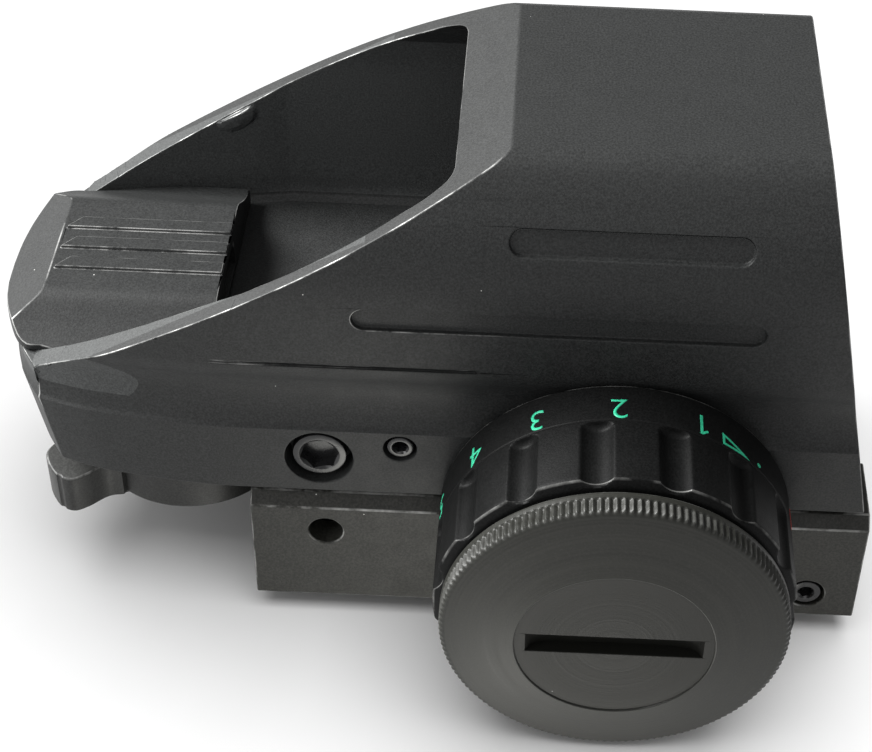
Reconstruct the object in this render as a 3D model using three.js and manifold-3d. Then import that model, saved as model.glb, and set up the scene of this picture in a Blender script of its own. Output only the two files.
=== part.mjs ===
// Open reflex red dot finder with a dovetail rail clamp.
// Millimetres, +X towards the target, +Y left, +Z up. The origin is the centre of the
// saddle face that rests on the top of the rail.
import * as THREE from "three";
import { mergeVertices } from "three/addons/utils/BufferGeometryUtils.js";
import Module from "manifold-3d";

const wasm = await Module();
wasm.setup();

// ---- driving dimensions -------------------------------------------------------------
// The design datum is the underside of the housing: z = 0 there, y = 0 on the centre plane.
const SADDLE_X = 10.0; // saddle centre, from the design datum
const SADDLE_Z = -9.0; // saddle face, from the design datum
const FRONT_X0 = 40.0; // front face at z = 0
const FRONT_LEAN = 0.1992; // how far the front face falls back per mm of height
const HOOD_TOP = 37.56;
const CUT_SLOPE = 0.577; // the rear of the hood is one inclined cut, 30 degrees
const CUT_X = -33.8,
  CUT_Z = 15.74;
const DECK_Z = 9.5;
const REAR_RIM_Z = 11.3;
const ROOF_IN = 34.6; // inside of the hood's roof
const KNOB_X = 15.35,
  KNOB_Z = -0.6; // rheostat axis, along Y
const KNOB_R = 17.1;
const CAP_R = 16.35;
const CAP_FACE_Y = -36.45;
const CAP_EDGE = 1.66;
const FLUTES = 15;
const FLUTE_PHASE = 15.5; // degrees from straight up
const FLUTE_R = 2.0;
const BAR_X0 = -20.75,
  BAR_X1 = 40.9; // both rail jaws
const BAR_FACE = 18.5;
const BAR_TOP = -1.32,
  BAR_BOTTOM = -15.3;
const BOLT_Z = -5.8,
  BOLT_REAR_X = -13.3,
  BOLT_FRONT_X = 26.0;
const PIVOT_X = -29.2; // selector lever and reticle drum axis
const WIND_X = -13.6,
  WIND_Z = 4.4; // windage screw axis, along Y
const ELEV_X = -10.5; // elevation screw axis, along Z
const GIMBAL_X = -21.5;
const CLR = 0.3; // running and assembly clearance
const FACETS = 0.27; // half the share of the nominal facet count that round pieces get

// ---- solids -------------------------------------------------------------------------
// A geometry becomes a solid: shared corners merged, empty triangles dropped, faces out.
function solid(geometry) {
  const g = geometry.clone();
  g.deleteAttribute("normal");
  g.deleteAttribute("uv");
  const m = mergeVertices(g, 1e-4);
  const p = m.attributes.position.array;
  const idx = m.index.array;
  let tri = [];
  let volume = 0;
  const a = new THREE.Vector3(),
    b = new THREE.Vector3(),
    c = new THREE.Vector3();
  for (let i = 0; i < idx.length; i += 3) {
    const [i0, i1, i2] = [idx[i], idx[i + 1], idx[i + 2]];
    if (i0 === i1 || i1 === i2 || i0 === i2) continue;
    a.fromArray(p, i0 * 3);
    b.fromArray(p, i1 * 3);
    c.fromArray(p, i2 * 3);
    volume += a.dot(b.clone().cross(c)) / 6;
    tri.push(i0, i1, i2);
  }
  if (volume < 0)
    for (let i = 0; i < tri.length; i += 3)
      [tri[i + 1], tri[i + 2]] = [tri[i + 2], tri[i + 1]];
  return new wasm.Manifold(
    new wasm.Mesh({
      numProp: 3,
      vertProperties: new Float32Array(p),
      triVerts: new Uint32Array(tri),
    }),
  );
}

function geometryOf(s) {
  const m = s.getMesh();
  const g = new THREE.BufferGeometry();
  const n = m.numProp;
  const pos = new Float32Array((m.vertProperties.length / n) * 3);
  for (let i = 0; i < pos.length / 3; i++)
    for (let k = 0; k < 3; k++) pos[i * 3 + k] = m.vertProperties[i * n + k];
  g.setAttribute("position", new THREE.BufferAttribute(pos, 3));
  g.setIndex(new THREE.BufferAttribute(new Uint32Array(m.triVerts), 1));
  g.computeVertexNormals();
  return g;
}

const box = (x0, x1, y0, y1, z0, z1) =>
  solid(
    new THREE.BoxGeometry(x1 - x0, y1 - y0, z1 - z0).translate(
      (x0 + x1) / 2,
      (y0 + y1) / 2,
      (z0 + z1) / 2,
    ),
  );

// A cylinder between two stations along an axis.
function cyl(axis, u, v, s0, s1, r, facets = 24, r1 = r) {
  const seg = facets === 6 ? 6 : Math.max(8, 2 * Math.round(facets * FACETS));
  const g = new THREE.CylinderGeometry(r1, r, s1 - s0, seg, 1);
  const mid = (s0 + s1) / 2;
  if (axis === "y") g.translate(u, mid, v);
  if (axis === "z") g.rotateX(Math.PI / 2).translate(u, v, mid);
  if (axis === "x") g.rotateZ(-Math.PI / 2).translate(mid, u, v);
  return solid(g);
}

// A turned solid: profile points are [radius, station along the axis].
function turned(axis, u, v, profile, facets = 32) {
  const seg = Math.max(8, 2 * Math.round(facets * FACETS));
  const g = new THREE.LatheGeometry(
    profile.map(([r, s]) => new THREE.Vector2(r, s)),
    seg,
  );
  if (axis === "y") g.translate(u, 0, v);
  if (axis === "z") g.rotateX(Math.PI / 2).translate(u, v, 0);
  if (axis === "x") g.rotateZ(-Math.PI / 2).translate(0, u, v);
  return solid(g);
}

const shapeOf = (pts) => new THREE.Shape(pts.map(([a, b]) => new THREE.Vector2(a, b)));
const raw = (pts, depth) =>
  new THREE.ExtrudeGeometry(shapeOf(pts), { depth, bevelEnabled: false });
const prismXY = (pts, z0, z1) => solid(raw(pts, z1 - z0).translate(0, 0, z0));
const prismXZ = (pts, y0, y1) =>
  solid(raw(pts, y1 - y0).rotateX(Math.PI / 2).translate(0, y1, 0));
const prismYZ = (pts, x0, x1) =>
  solid(
    raw(pts, x1 - x0)
      .applyMatrix4(
        new THREE.Matrix4().set(0, 0, 1, 0, 1, 0, 0, 0, 0, 1, 0, 0, 0, 0, 0, 1),
      )
      .translate(x0, 0, 0),
  );

const mirrored = (half) => [
  ...half.map(([w, z]) => [w, z]),
  ...half
    .slice()
    .reverse()
    .map(([w, z]) => [-w, z]),
];

// A screw along +axis direction `dir`: head first, then the shank, with a hex socket.
function screw(axis, u, v, s, dir, { headR, headH, shankR, shankL, hexR, hexD }, seg = 18) {
  const at = (d) => s + dir * d;
  const ordered = (d0, d1) => (dir > 0 ? [at(d0), at(d1)] : [at(d1), at(d0)]);
  let body;
  if (shankL > 0) {
    const prof = [
      [0, at(0)],
      [headR - 0.25, at(0)],
      [headR, at(0.25)],
      [headR, at(headH)],
      [shankR, at(headH)],
      [shankR, at(headH + shankL - 0.3)],
      [shankR - 0.3, at(headH + shankL)],
      [0, at(headH + shankL)],
    ];
    body = turned(axis, u, v, prof, seg);
  } else {
    const prof = [
      [0, at(0)],
      [headR - 0.2, at(0)],
      [headR, at(0.2)],
      [headR, at(headH - 0.3)],
      [headR - 0.3, at(headH)],
      [0, at(headH)],
    ];
    body = turned(axis, u, v, prof, seg);
  }
  const [h0, h1] = ordered(-0.5, hexD);
  return body.subtract(cyl(axis, u, v, h0, h1, hexR, 6));
}

// A coil spring with its ends closed flat enough to sit, along an axis.
function spring(axis, u, v, s0, s1, r, wire, turns) {
  const pts = [];
  const steps = turns * 8;
  for (let i = 0; i <= steps; i++) {
    const t = i / steps,
      a = t * turns * Math.PI * 2;
    const s = s0 + wire + (s1 - s0 - 2 * wire) * t;
    const p = [r * Math.cos(a), r * Math.sin(a)];
    if (axis === "y") pts.push(new THREE.Vector3(u + p[0], s, v + p[1]));
    if (axis === "z") pts.push(new THREE.Vector3(u + p[0], v + p[1], s));
  }
  const section = new THREE.Shape();
  for (let k = 0; k < 5; k++) {
    const a = (k / 5) * Math.PI * 2;
    section[k ? "lineTo" : "moveTo"](wire * Math.cos(a), wire * Math.sin(a));
  }
  return solid(
    new THREE.ExtrudeGeometry(section, {
      steps,
      bevelEnabled: false,
      extrudePath: new THREE.CatmullRomCurve3(pts),
    }),
  );
}

// ---- housing ------------------------------------------------------------------------
const frontX = (z) => FRONT_X0 - FRONT_LEAN * z;

// Outline in plan, right half, from the front to the tail.
const PLAN = [
  [44, 18.8], [-20, 18.8], [-24, 18.72], [-28, 18.4], [-31, 18.05], [-34, 17.65],
  [-37, 17.15], [-40, 16.35], [-41.8, 15.75], [-42.8, 14.3], [-44.1, 12.1],
  [-45.0, 9.8], [-45.7, 7.4], [-46.3, 4.5], [-46.6, 0],
];
const planLoop = (pts) => [
  ...pts.map(([x, w]) => [x, -w]),
  ...pts
    .slice()
    .reverse()
    .filter(([, w]) => w > 0)
    .map(([x, w]) => [x, w]),
];

// Outside section, right half, from the bottom up.
const SECTION = [
  [18.5, -0.5], [18.5, 8.1], [18.15, 8.45], [17.95, 9.6], [18.05, 10.4], [18.3, 11.4],
  [18.2, 12.6], [18.3, 13.6], [18.68, 14.8], [18.74, 20], [18.76, 22.6], [18.74, 24.4],
  [18.7, 25.25], [18.55, 26.54], [18.28, 27.82], [17.96, 29.06], [17.5, 30.29],
  [16.98, 31.46], [16.34, 32.64], [15.57, 33.83], [14.78, 35.0], [13.5, 36.6],
  [12.6, 37.3], [11.74, HOOD_TOP],
];
const CAVITY = [
  [15.9, DECK_Z], [16.5, 10.1], [16.93, 17], [16.93, 24.66], [16.86, 26.8],
  [16.34, 28.9], [15.66, 30.6], [14.81, 31.96], [14.13, 33.1], [13.1, 34.06],
  [12.2, 34.45], [11.2, ROOF_IN],
];
const CAVITY_PLAN = [
  [60, 17.2], [-19, 17.2], [-22.4, 16.5], [-26.8, 15.9], [-31.2, 15.2], [-35.7, 14.25],
  [-39.4, 13.1], [-41.2, 12.4], [-42.1, 11.2],
];

// The tail leans forward as it goes down.
function leanTail(geometry) {
  const p = geometry.attributes.position;
  for (let i = 0; i < p.count; i++) {
    const x = p.getX(i),
      z = p.getZ(i);
    if (x < -24) p.setX(i, x + Math.min(2.2, 0.17 * (12 - z)) * Math.min(1, (-24 - x) / 18));
  }
  return geometry;
}
const planBlock = solid(leanTail(raw(planLoop(PLAN), 50).translate(0, 0, -1)));

let housing = planBlock
  .intersect(prismYZ(mirrored(SECTION), -60, 60))
  .intersect(
    prismXZ(
      [
        [-60, 0], [frontX(0), 0], [frontX(HOOD_TOP), HOOD_TOP], [4.05, HOOD_TOP],
        [CUT_X + (REAR_RIM_Z - CUT_Z) / CUT_SLOPE, REAR_RIM_Z], [-60, REAR_RIM_Z],
      ],
      -30,
      30,
    ),
  );

// Hood tunnel and open rear trough, down to the deck; a lip is left round the window.
const LIP = 2.2;
const tunnel = prismYZ(mirrored(CAVITY), -60, 60)
  .intersect(prismXY(planLoop(CAVITY_PLAN), 0, 60))
  .intersect(
    prismXZ(
      [
        [-38.2, 0], [frontX(0) - LIP, 0], [frontX(50) - LIP, 50], [-60, 50],
        [-60, REAR_RIM_Z], [-38.2, REAR_RIM_Z],
      ],
      -30,
      30,
    ),
  );
const WINDOW = [
  [14.6, 10.7], [15.7, 11.7], [15.85, 17], [15.85, 24.6], [15.6, 27.2], [14.8, 29.8],
  [13.6, 31.8], [12.2, 33.1], [10.8, 33.5],
];
const windowCut = prismYZ(mirrored(WINDOW), 20, 60);
housing = housing.subtract(tunnel).subtract(windowCut);

// Shallow slots along both sides of the hood.
const capsule = (x0, x1, z0, z1) => {
  const r = (z1 - z0) / 2,
    zc = (z0 + z1) / 2,
    pts = [];
  for (let i = 0; i <= 6; i++) {
    const a = -Math.PI / 2 + (i / 6) * Math.PI;
    pts.push([x1 - r + r * Math.cos(a), zc + r * Math.sin(a)]);
  }
  for (let i = 0; i <= 6; i++) {
    const a = Math.PI / 2 + (i / 6) * Math.PI;
    pts.push([x0 + r + r * Math.cos(a), zc + r * Math.sin(a)]);
  }
  return pts;
};
for (const s of [-1, 1]) {
  const side = (w0, w1) => (s < 0 ? [-w1, -w0] : [w0, w1]);
  housing = housing
    .subtract(prismXZ(capsule(-10, 27.9, 21.3, 23.7), ...side(18.3, 22)))
    .subtract(
      prismXZ(capsule(4.2, 26.1, 29.8, 32.1), ...side(16.9, 22)).intersect(
        prismYZ(
          [
            [s * 16.35, 32.6], [s * 17.35, 29.4], [s * 22, 29.4], [s * 22, 32.6],
          ],
          0,
          30,
        ),
      ),
    );
}
// A half-round boss inside the left wing, where the casting gate was.
housing = housing.add(
  cyl("y", -27.5, 17.2, 15.6, 16.9, 1.9, 20).intersect(box(-30, -25, 15, 18, 14, 18.6)),
);

// Pockets in the underside: pointer mechanism behind, rheostat wiring in front.
housing = housing
  .subtract(box(-37, -7.6, -9, 9, -1, 8))
  .subtract(box(8, 24, -15.5, 4, -1, 6.6))
  .subtract(box(-8, 9, -1.3, 1.3, -1, 2.6))
  .subtract(box(-38.2, -19.2, -11.2, 11.2, -1, 1.2)) // seat of the bottom plate
  .subtract(cyl("z", PIVOT_X, 0, 7, 12, 2.7, 24)) // selector spindle passes the deck
  .subtract(box(-34.9, -32.4, -2.2, 2.2, 7, 12)); // and so does the LED holder
// Elevation boss on the deck.
housing = housing
  .add(cyl("z", ELEV_X, 0, 8, 12.2, 4.4, 28))
  .subtract(cyl("z", ELEV_X, 0, 10.0, 13, 3.0, 24))
  .subtract(cyl("z", ELEV_X, 0, 7, 11, 1.8, 20))
  .subtract(cyl("z", -3.4, 0, 5.6, 10, 1.6, 18));
// Windage recess and its lock screw hole, right side.
housing = housing
  .subtract(cyl("y", WIND_X, WIND_Z, -20, -15.6, 3.3, 32))
  .subtract(cyl("y", WIND_X, WIND_Z, -16, -8.5, 1.8, 20))
  .subtract(cyl("y", -5.7, 6.1, -20, -11.4, 1.6, 18));
// Gimbal pin holes, rheostat stem and screw holes, blind holes from below.
housing = housing
  .subtract(cyl("y", GIMBAL_X, 4.0, -12.5, 12.5, 1.3, 18))
  .subtract(cyl("y", KNOB_X, 3.4, -20, -15, 2.2, 18))
  .subtract(cyl("y", KNOB_X - 8.5, 4.2, -20, -12.6, 1.4, 16))
  .subtract(cyl("y", KNOB_X + 8.5, 4.2, -20, -12.6, 1.4, 16));
const BASE_SCREWS = [
  [-2.5, 5.5], [-2.5, -5.5], [33, 5.5], [33, -5.5],
];
for (const [x, y] of BASE_SCREWS) housing = housing.subtract(cyl("z", x, y, -1, 6, 1.8, 18));
for (const y of [-10.9, 10.9])
  housing = housing
    .subtract(cyl("z", -33, y * 1.06, -1, 3.0, 2.0, 18))
    .subtract(cyl("z", -33, y * 1.06, 2, 12, 1.3, 16));
for (const y of [-8.9, 8.9])
  housing = housing.subtract(cyl("z", -35.6, y * 1.02, 0, 5.5, 1.3, 16));

// ---- optics -------------------------------------------------------------------------
// Everything in the hood sits parallel to the leaning front face.
const leaned = (pts, x0, x1) => {
  // a prism along X, sheared so that its ends follow the front face
  const g = raw(pts, x1 - x0)
    .applyMatrix4(new THREE.Matrix4().set(0, 0, 1, 0, 1, 0, 0, 0, 0, 1, 0, 0, 0, 0, 0, 1))
    .translate(x0, 0, 0);
  const p = g.attributes.position;
  for (let i = 0; i < p.count; i++) p.setX(i, p.getX(i) - FRONT_LEAN * p.getZ(i));
  return solid(g);
};
const inset = (pts, d) =>
  pts.map(([w, z]) => {
    const cz = 22;
    const len = Math.hypot(w, z - cz);
    return [w - (d * w) / len - d * 0.25 * Math.sign(w), z - (d * 1.25 * (z - cz)) / len];
  });
const lensOutline = mirrored(inset(CAVITY, 0.45));
const LENS_X = frontX(0) - LIP - CLR; // front face of the lens at z = 0
let objective_lens = leaned(lensOutline, LENS_X - 3.4, LENS_X);
// Meniscus: both faces are spherical, bowed towards the target.
{
  const R = 96,
    N = 5,
    cap = [],
    back = [];
  for (let i = 0; i <= N; i++) {
    const r = (26 * i) / N;
    cap.push([r, -(R - Math.sqrt(R * R - r * r))]);
    back.push([r, -(R - Math.sqrt(R * R - r * r)) - 2.0]);
  }
  const prof = [...back, ...cap.reverse()];
  const g = new THREE.LatheGeometry(
    prof.map(([r, s]) => new THREE.Vector2(r, s)),
    18,
  );
  g.rotateZ(-Math.PI / 2)
    .rotateY(-Math.atan(FRONT_LEAN))
    .translate(LENS_X - FRONT_LEAN * 22.2 - 0.05, 0, 22.2);
  objective_lens = objective_lens.intersect(solid(g));
}
const FRAME_X = LENS_X - 6.1;
const lens_frame = leaned(lensOutline, FRAME_X - 2.2, FRAME_X).subtract(
  leaned(mirrored(inset(CAVITY, 2.0)), FRAME_X - 4, FRAME_X + 2),
);

// ---- emitter cover on the rear deck -------------------------------------------------
const COVER_SECTION = [
  [14.6, 8], [14.6, 11.6], [13.2, 11.85], [11.9, 12.4], [10.4, 13.2], [9.1, 14.0],
  [8.1, 14.6], [7.3, 14.88], [6.3, 14.95],
];
const COVER_PLAN = [
  [-24.3, 15.6], [-26.8, 15.6], [-31.2, 14.85], [-35.7, 13.9], [-39.4, 12.8],
  [-41.0, 12.4], [-42.3, 12.35], [-43.4, 11.4], [-44.6, 8.9], [-45.5, 6.2], [-46.05, 3.2],
  [-46.2, 0],
];
let emitter_cover = prismYZ(mirrored(COVER_SECTION), -60, -20)
  .intersect(prismXY(planLoop(COVER_PLAN), 0, 30))
  .intersect(
    prismXZ(
      [
        [-24.3, 9.8], [-24.3, 15], [-41.3, 15], [-46.9, 11.65], [-46.9, 11.6],
        [-37.9, 11.6], [-37.9, 9.8],
      ],
      -30,
      30,
    ),
  );
// Three grip ribs, cut off diagonally at their rear ends.
for (const y of [-3.2, 0, 3.2])
  emitter_cover = emitter_cover.add(
    prismXY(
      [
        [-24.32, y - 0.85], [-24.32, y + 0.85], [-39.6, y + 0.85], [-41.0, y - 0.85],
      ],
      14.6,
      15.35,
    ),
  );
emitter_cover = emitter_cover
  .subtract(cyl("z", PIVOT_X, 0, 9, 13.9, 4.2, 28)) // room for the reticle drum
  .subtract(box(-35.2, -30, -2.4, 2.4, 9, 13.9)) // and for the LED holder
  .subtract(box(-26, -22, -3.2, 3.2, 10.6, 13.6)) // beam window, facing the lens
  .subtract(cyl("z", -33, 11.55, 9, 11.3, 1.3, 16).add(cyl("z", -33, -11.55, 9, 11.3, 1.3, 16)));
const coverScrew = { headR: 1.6, headH: 1.2, shankR: 1.0, shankL: 8.4, hexR: 0.7, hexD: 0.7 };
const cover_screw_left = screw("z", -33, 11.55, 1.5, 1, coverScrew, 16);
const cover_screw_right = screw("z", -33, -11.55, 1.5, 1, coverScrew, 16);

// ---- pointer mechanism --------------------------------------------------------------
const bottom_plate_blank = prismXY(
  [
    [-19.5, -10.9], [-19.5, 10.9], [-36.4, 10.9], [-37.9, 9.4], [-37.9, -9.4], [-36.4, -10.9],
  ],
  0.0,
  0.9,
);
let bottom_plate = bottom_plate_blank
  .subtract(cyl("z", PIVOT_X, 0, -1, 2, 2.6, 24))
  .subtract(cyl("z", -35.6, 9.08, -1, 2, 1.3, 16))
  .subtract(cyl("z", -35.6, -9.08, -1, 2, 1.3, 16));
const plateScrew = { headR: 1.7, headH: 0.9, shankR: 1.0, shankL: 4.0, hexR: 0.7, hexD: 0.6 };
const bottom_plate_screw_left = screw("z", -35.6, 9.08, -1.2, 1, plateScrew, 16);
const bottom_plate_screw_right = screw("z", -35.6, -9.08, -1.2, 1, plateScrew, 16);

// Selector lever: a scalloped disc with a thumb tab, on a vertical spindle.
const LEVER_Z0 = -8.4,
  LEVER_Z1 = -3.7;
let selector_lever = cyl("z", PIVOT_X, 0, LEVER_Z0, LEVER_Z1, 9.6, 40)
  .add(cyl("z", PIVOT_X + 0.4, -3.6, LEVER_Z0, LEVER_Z1, 10.0, 40))
  .add(
    prismXY(
      [
        [-36.2, -6.0], [-34.9, -12.2], [-36.4, -12.6], [-38.2, -14.2], [-39.6, -14.9],
        [-41.2, -14.1], [-42.6, -11.6], [-42.4, -10.0], [-40.0, -7.2], [-37.6, -5.2],
      ],
      LEVER_Z0,
      LEVER_Z1,
    ),
  )
  .add(cyl("z", PIVOT_X, 0, LEVER_Z1 - 0.5, -1.6, 5.2, 28))
  .subtract(box(PIVOT_X - 1.25, PIVOT_X + 1.25, -1.25, 1.25, -6.2, 0)) // square drive
  .subtract(cyl("z", PIVOT_X, 0, -9, -6.9, 2.9, 24))
  .subtract(cyl("z", PIVOT_X, 0, -9, -6.0, 1.3, 16));
// Keep the disc clear of the rail jaws and of the saddle's end.
selector_lever = selector_lever.intersect(box(-60, -18.9, -20, 20, -9, 0));
const selector_spindle = box(PIVOT_X - 0.95, PIVOT_X + 0.95, -0.95, 0.95, -5.9, -0.9)
  .add(cyl("z", PIVOT_X, 0, -1.1, 8.4, 2.2, 24))
  .add(box(PIVOT_X - 0.6, PIVOT_X + 0.6, -1.4, 1.4, 8.2, 9.9)) // drive tongue
  .subtract(cyl("z", PIVOT_X, 0, -7, -2.6, 0.75, 14));
const lever_screw = screw(
  "z", PIVOT_X, 0, -8.3, 1,
  { headR: 2.5, headH: 1.1, shankR: 0.45, shankL: 3.9, hexR: 0.9, hexD: 0.7 }, 18,
);

// Reticle drum: a disc with a thin wall round part of its edge, pierced by four apertures
// a fixed angle apart. The rest of the edge is open, so the LED reaches in from behind.
const RETICLE_STEP = THREE.MathUtils.degToRad(32.3);
const DRUM_R = 3.7;
let reticle_drum = turned("z", PIVOT_X, 0, [
  [0, 8.95], [2.3, 8.95], [2.3, 9.75], [DRUM_R, 9.75], [DRUM_R, 13.5], [DRUM_R - 0.55, 13.5],
  [DRUM_R - 0.55, 10.4], [0, 10.4],
], 40);
{
  const wedge = [[0, 0]];
  for (let i = 0; i <= 8; i++) {
    const a = THREE.MathUtils.degToRad(117 + ((340 - 117) * i) / 8);
    wedge.push([9 * Math.cos(a), 9 * Math.sin(a)]);
  }
  reticle_drum = reticle_drum
    .subtract(
      prismXY(wedge.map(([x, y]) => [x + PIVOT_X, y]), 10.4, 15),
    )
    .subtract(box(PIVOT_X - 0.95, PIVOT_X + 0.95, -1.75, 1.75, 8, 10.15)); // slot for the drive tongue
}
for (let i = 0; i < 4; i++) {
  const g = new THREE.CylinderGeometry(0.45 + 0.1 * i, 0.45 + 0.1 * i, 3, 12)
    .rotateZ(-Math.PI / 2)
    .translate(DRUM_R, 0, 11.9)
    .rotateZ(i * RETICLE_STEP)
    .translate(PIVOT_X, 0, 0);
  reticle_drum = reticle_drum.subtract(solid(g));
}

// Gimbal block rocks on its pin (elevation); the arm swings on the block's post (windage).
const gimbal_pin = cyl("y", GIMBAL_X, 4.0, -12, 12, 1.0, 18);
const gimbal_block = box(GIMBAL_X - 2.4, GIMBAL_X + 2.4, -6, 6, 1.9, 5.5)
  .add(cyl("z", GIMBAL_X, 0, 5.2, 7.6, 1.3, 20))
  .subtract(cyl("y", GIMBAL_X, 4.0, -8, 8, 1.3, 18));
let emitter_arm = prismXY(
  [
    [-8.6, -2.2], [-8.6, 2.2], [-24.6, 3.4], [-24.6, 5.6], [-33.6, 5.6], [-34.6, 4.4],
    [-34.6, -4.4], [-33.6, -5.6], [-24.6, -5.6], [-24.6, -3.4],
  ],
  5.9,
  7.3,
)
  .subtract(cyl("z", PIVOT_X, 0, 5, 8, 3.0, 28))
  .subtract(cyl("z", GIMBAL_X, 0, 5, 8, 1.6, 20))
  .add(box(WIND_X - 1.8, WIND_X + 1.8, -1.2, 1.2, 2.4, 6.2)); // tab met by the windage screw
// The LED lies along X on a post that stands on the arm behind the drum.
const led_emitter = turned("x", 0, 11.9, [
  [0, -32.9], [1.5, -32.9], [1.5, -28.4], [1.2, -27.6], [0.7, -27.1], [0, -26.9],
], 20);
const led_holder = box(-34.3, -33.2, -1.7, 1.7, 7.6, 13.4);

// ---- windage and elevation screws ---------------------------------------------------
const bigScrew = { headR: 2.65, headH: 2.1, shankR: 1.25, shankL: 14.4, hexR: 1.95, hexD: 1.4 };
const windage_screw = screw("y", WIND_X, WIND_Z, -18.0, 1, bigScrew, 28);
const elevation_screw = screw(
  "z", ELEV_X, 0, 12.0, -1,
  { headR: 2.65, headH: 1.7, shankR: 1.5, shankL: 2.6, hexR: 1.95, hexD: 1.1 }, 28,
);
const windage_lock_screw = screw(
  "y", -5.7, 6.1, -18.3, 1, { headR: 1.3, headH: 6.4, shankR: 0, shankL: 0, hexR: 0.75, hexD: 1.3 }, 18,
);
const elevation_lock_screw = screw(
  "z", -3.4, 0, 9.3, -1, { headR: 1.3, headH: 3.4, shankR: 0, shankL: 0, hexR: 0.75, hexD: 1.3 }, 18,
);
const windage_spring = spring("y", WIND_X, WIND_Z, 2.1, 8.6, 1.15, 0.24, 5);
const elevation_spring = spring("z", -17.3, 0, 1.3, 5.2, 1.2, 0.25, 4);

// ---- rail mount ---------------------------------------------------------------------
let rail_base = box(-17.6, 40.4, -9.6, 9.6, SADDLE_Z, -0.3);
// The tail of the base is hollowed to clear the selector disc.
rail_base = rail_base
  .subtract(cyl("z", PIVOT_X, -1.7, -10, 0.5, 12.6, 40))
  .add(box(20, 24.5, -7.4, 7.4, SADDLE_Z - 2.4, SADDLE_Z + 1)); // recoil lug
for (const [x, y] of BASE_SCREWS)
  rail_base = rail_base
    .subtract(cyl("z", x, y, -12, -6.2, 3.0, 24))
    .subtract(cyl("z", x, y, -7, 1, 1.8, 18));
for (const x of [BOLT_REAR_X, BOLT_FRONT_X])
  rail_base = rail_base.subtract(cyl("y", x, BOLT_Z, -12, 12, 2.1, 20));
const DOWELS = [-5.5, 36.4];
for (const x of DOWELS) rail_base = rail_base.subtract(cyl("y", x, -4.6, -12, -4, 1.8, 18));
const baseScrew = { headR: 2.65, headH: 2.2, shankR: 1.5, shankL: 11.4, hexR: 1.25, hexD: 1.4 };
const base_screws = BASE_SCREWS.map(([x, y]) => screw("z", x, y, -8.7, 1, baseScrew, 18));

// The jaws: outer face flush with the housing, bevelled top edge, hooked inner foot.
const jawSection = (s) =>
  [
    [18.5, BAR_TOP - 1.25], [17.25, BAR_TOP], [9.9, BAR_TOP], [9.9, -8.9], [10.9, -9.9],
    [10.9, -12.2], [8.1, -15.0], [8.1, BAR_BOTTOM], [18.5, BAR_BOTTOM],
  ].map(([w, z]) => [s * w, z]);
let fixed_jaw = prismYZ(jawSection(-1), BAR_X0, BAR_X1);
let moving_jaw = prismYZ(jawSection(1), BAR_X0, BAR_X1);
// The bolt heads are captive in the right jaw and reached through small holes in its face.
for (const x of [BOLT_REAR_X, BOLT_FRONT_X]) {
  fixed_jaw = fixed_jaw
    .subtract(cyl("y", x, BOLT_Z, -20, -14, 1.7, 24))
    .subtract(cyl("y", x, BOLT_Z, -15.4, -9, 3.2, 24));
  moving_jaw = moving_jaw.subtract(cyl("y", x, BOLT_Z, 9, 20, 2.3, 24));
}
fixed_jaw = fixed_jaw.subtract(cyl("y", 35.7, -12.05, -20, -9, 1.85, 22));
for (const x of DOWELS)
  fixed_jaw = fixed_jaw.subtract(cyl("y", x, -4.6, -14, -8, 1.8, 18));
const jawBolt = { headR: 2.9, headH: 2.6, shankR: 1.8, shankL: 29.6, hexR: 1.5, hexD: 1.6 };
const jaw_bolt_rear = screw("y", BOLT_REAR_X, BOLT_Z, -15.0, 1, jawBolt, 22);
const jaw_bolt_front = screw("y", BOLT_FRONT_X, BOLT_Z, -15.0, 1, jawBolt, 22);
const jaw_grub_screw = screw(
  "y", 35.7, -12.05, -18.35, 1, { headR: 1.55, headH: 6.6, shankR: 0, shankL: 0, hexR: 0.8, hexD: 1.2 }, 20,
);
const jaw_dowels = DOWELS.map((x) => cyl("y", x, -4.6, -13.6, -4.4, 1.5, 18));

// ---- rheostat turret ----------------------------------------------------------------
const detentX = KNOB_X,
  detentZ = KNOB_Z - 9.0;
let turret_base = turned("y", KNOB_X, KNOB_Z, [
  [0, -18.8], [12.9, -18.8], [12.9, -20.6], [12.5, -21.0], [5.0, -21.0], [5.0, -26.2],
  [4.7, -26.5], [0, -26.5],
], 40)
  .add(cyl("y", detentX, detentZ, -24.6, -20.8, 2.1, 20))
  .subtract(cyl("y", detentX, detentZ, -25, -20, 1.5, 18))
  .subtract(cyl("y", KNOB_X, KNOB_Z, -27, -19.6, 1.8, 20))
  .subtract(cyl("y", KNOB_X - 8.5, 4.2, -22, -18, 1.4, 16))
  .subtract(cyl("y", KNOB_X + 8.5, 4.2, -22, -18, 1.4, 16))
  .subtract(cyl("y", KNOB_X, 6.9, -22, -18, 1.3, 16));
const turretScrew = { headR: 1.9, headH: 0.7, shankR: 1.1, shankL: 7.6, hexR: 0.8, hexD: 0.45 };
const turret_screws = [-8.5, 8.5].map((d) =>
  screw("y", KNOB_X + d, 4.2, -22.0, 1, turretScrew, 16),
);
let contact_disc = turned("y", KNOB_X, KNOB_Z, [
  [5.4, -23.2], [12.6, -23.2], [12.6, -22.4], [5.4, -22.4], [5.4, -23.2],
], 36)
  .subtract(cyl("y", detentX, detentZ, -24, -22, 2.5, 20))
  .subtract(cyl("y", KNOB_X - 9, KNOB_Z + 8.4, -24, -22, 0.7, 12));
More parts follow.
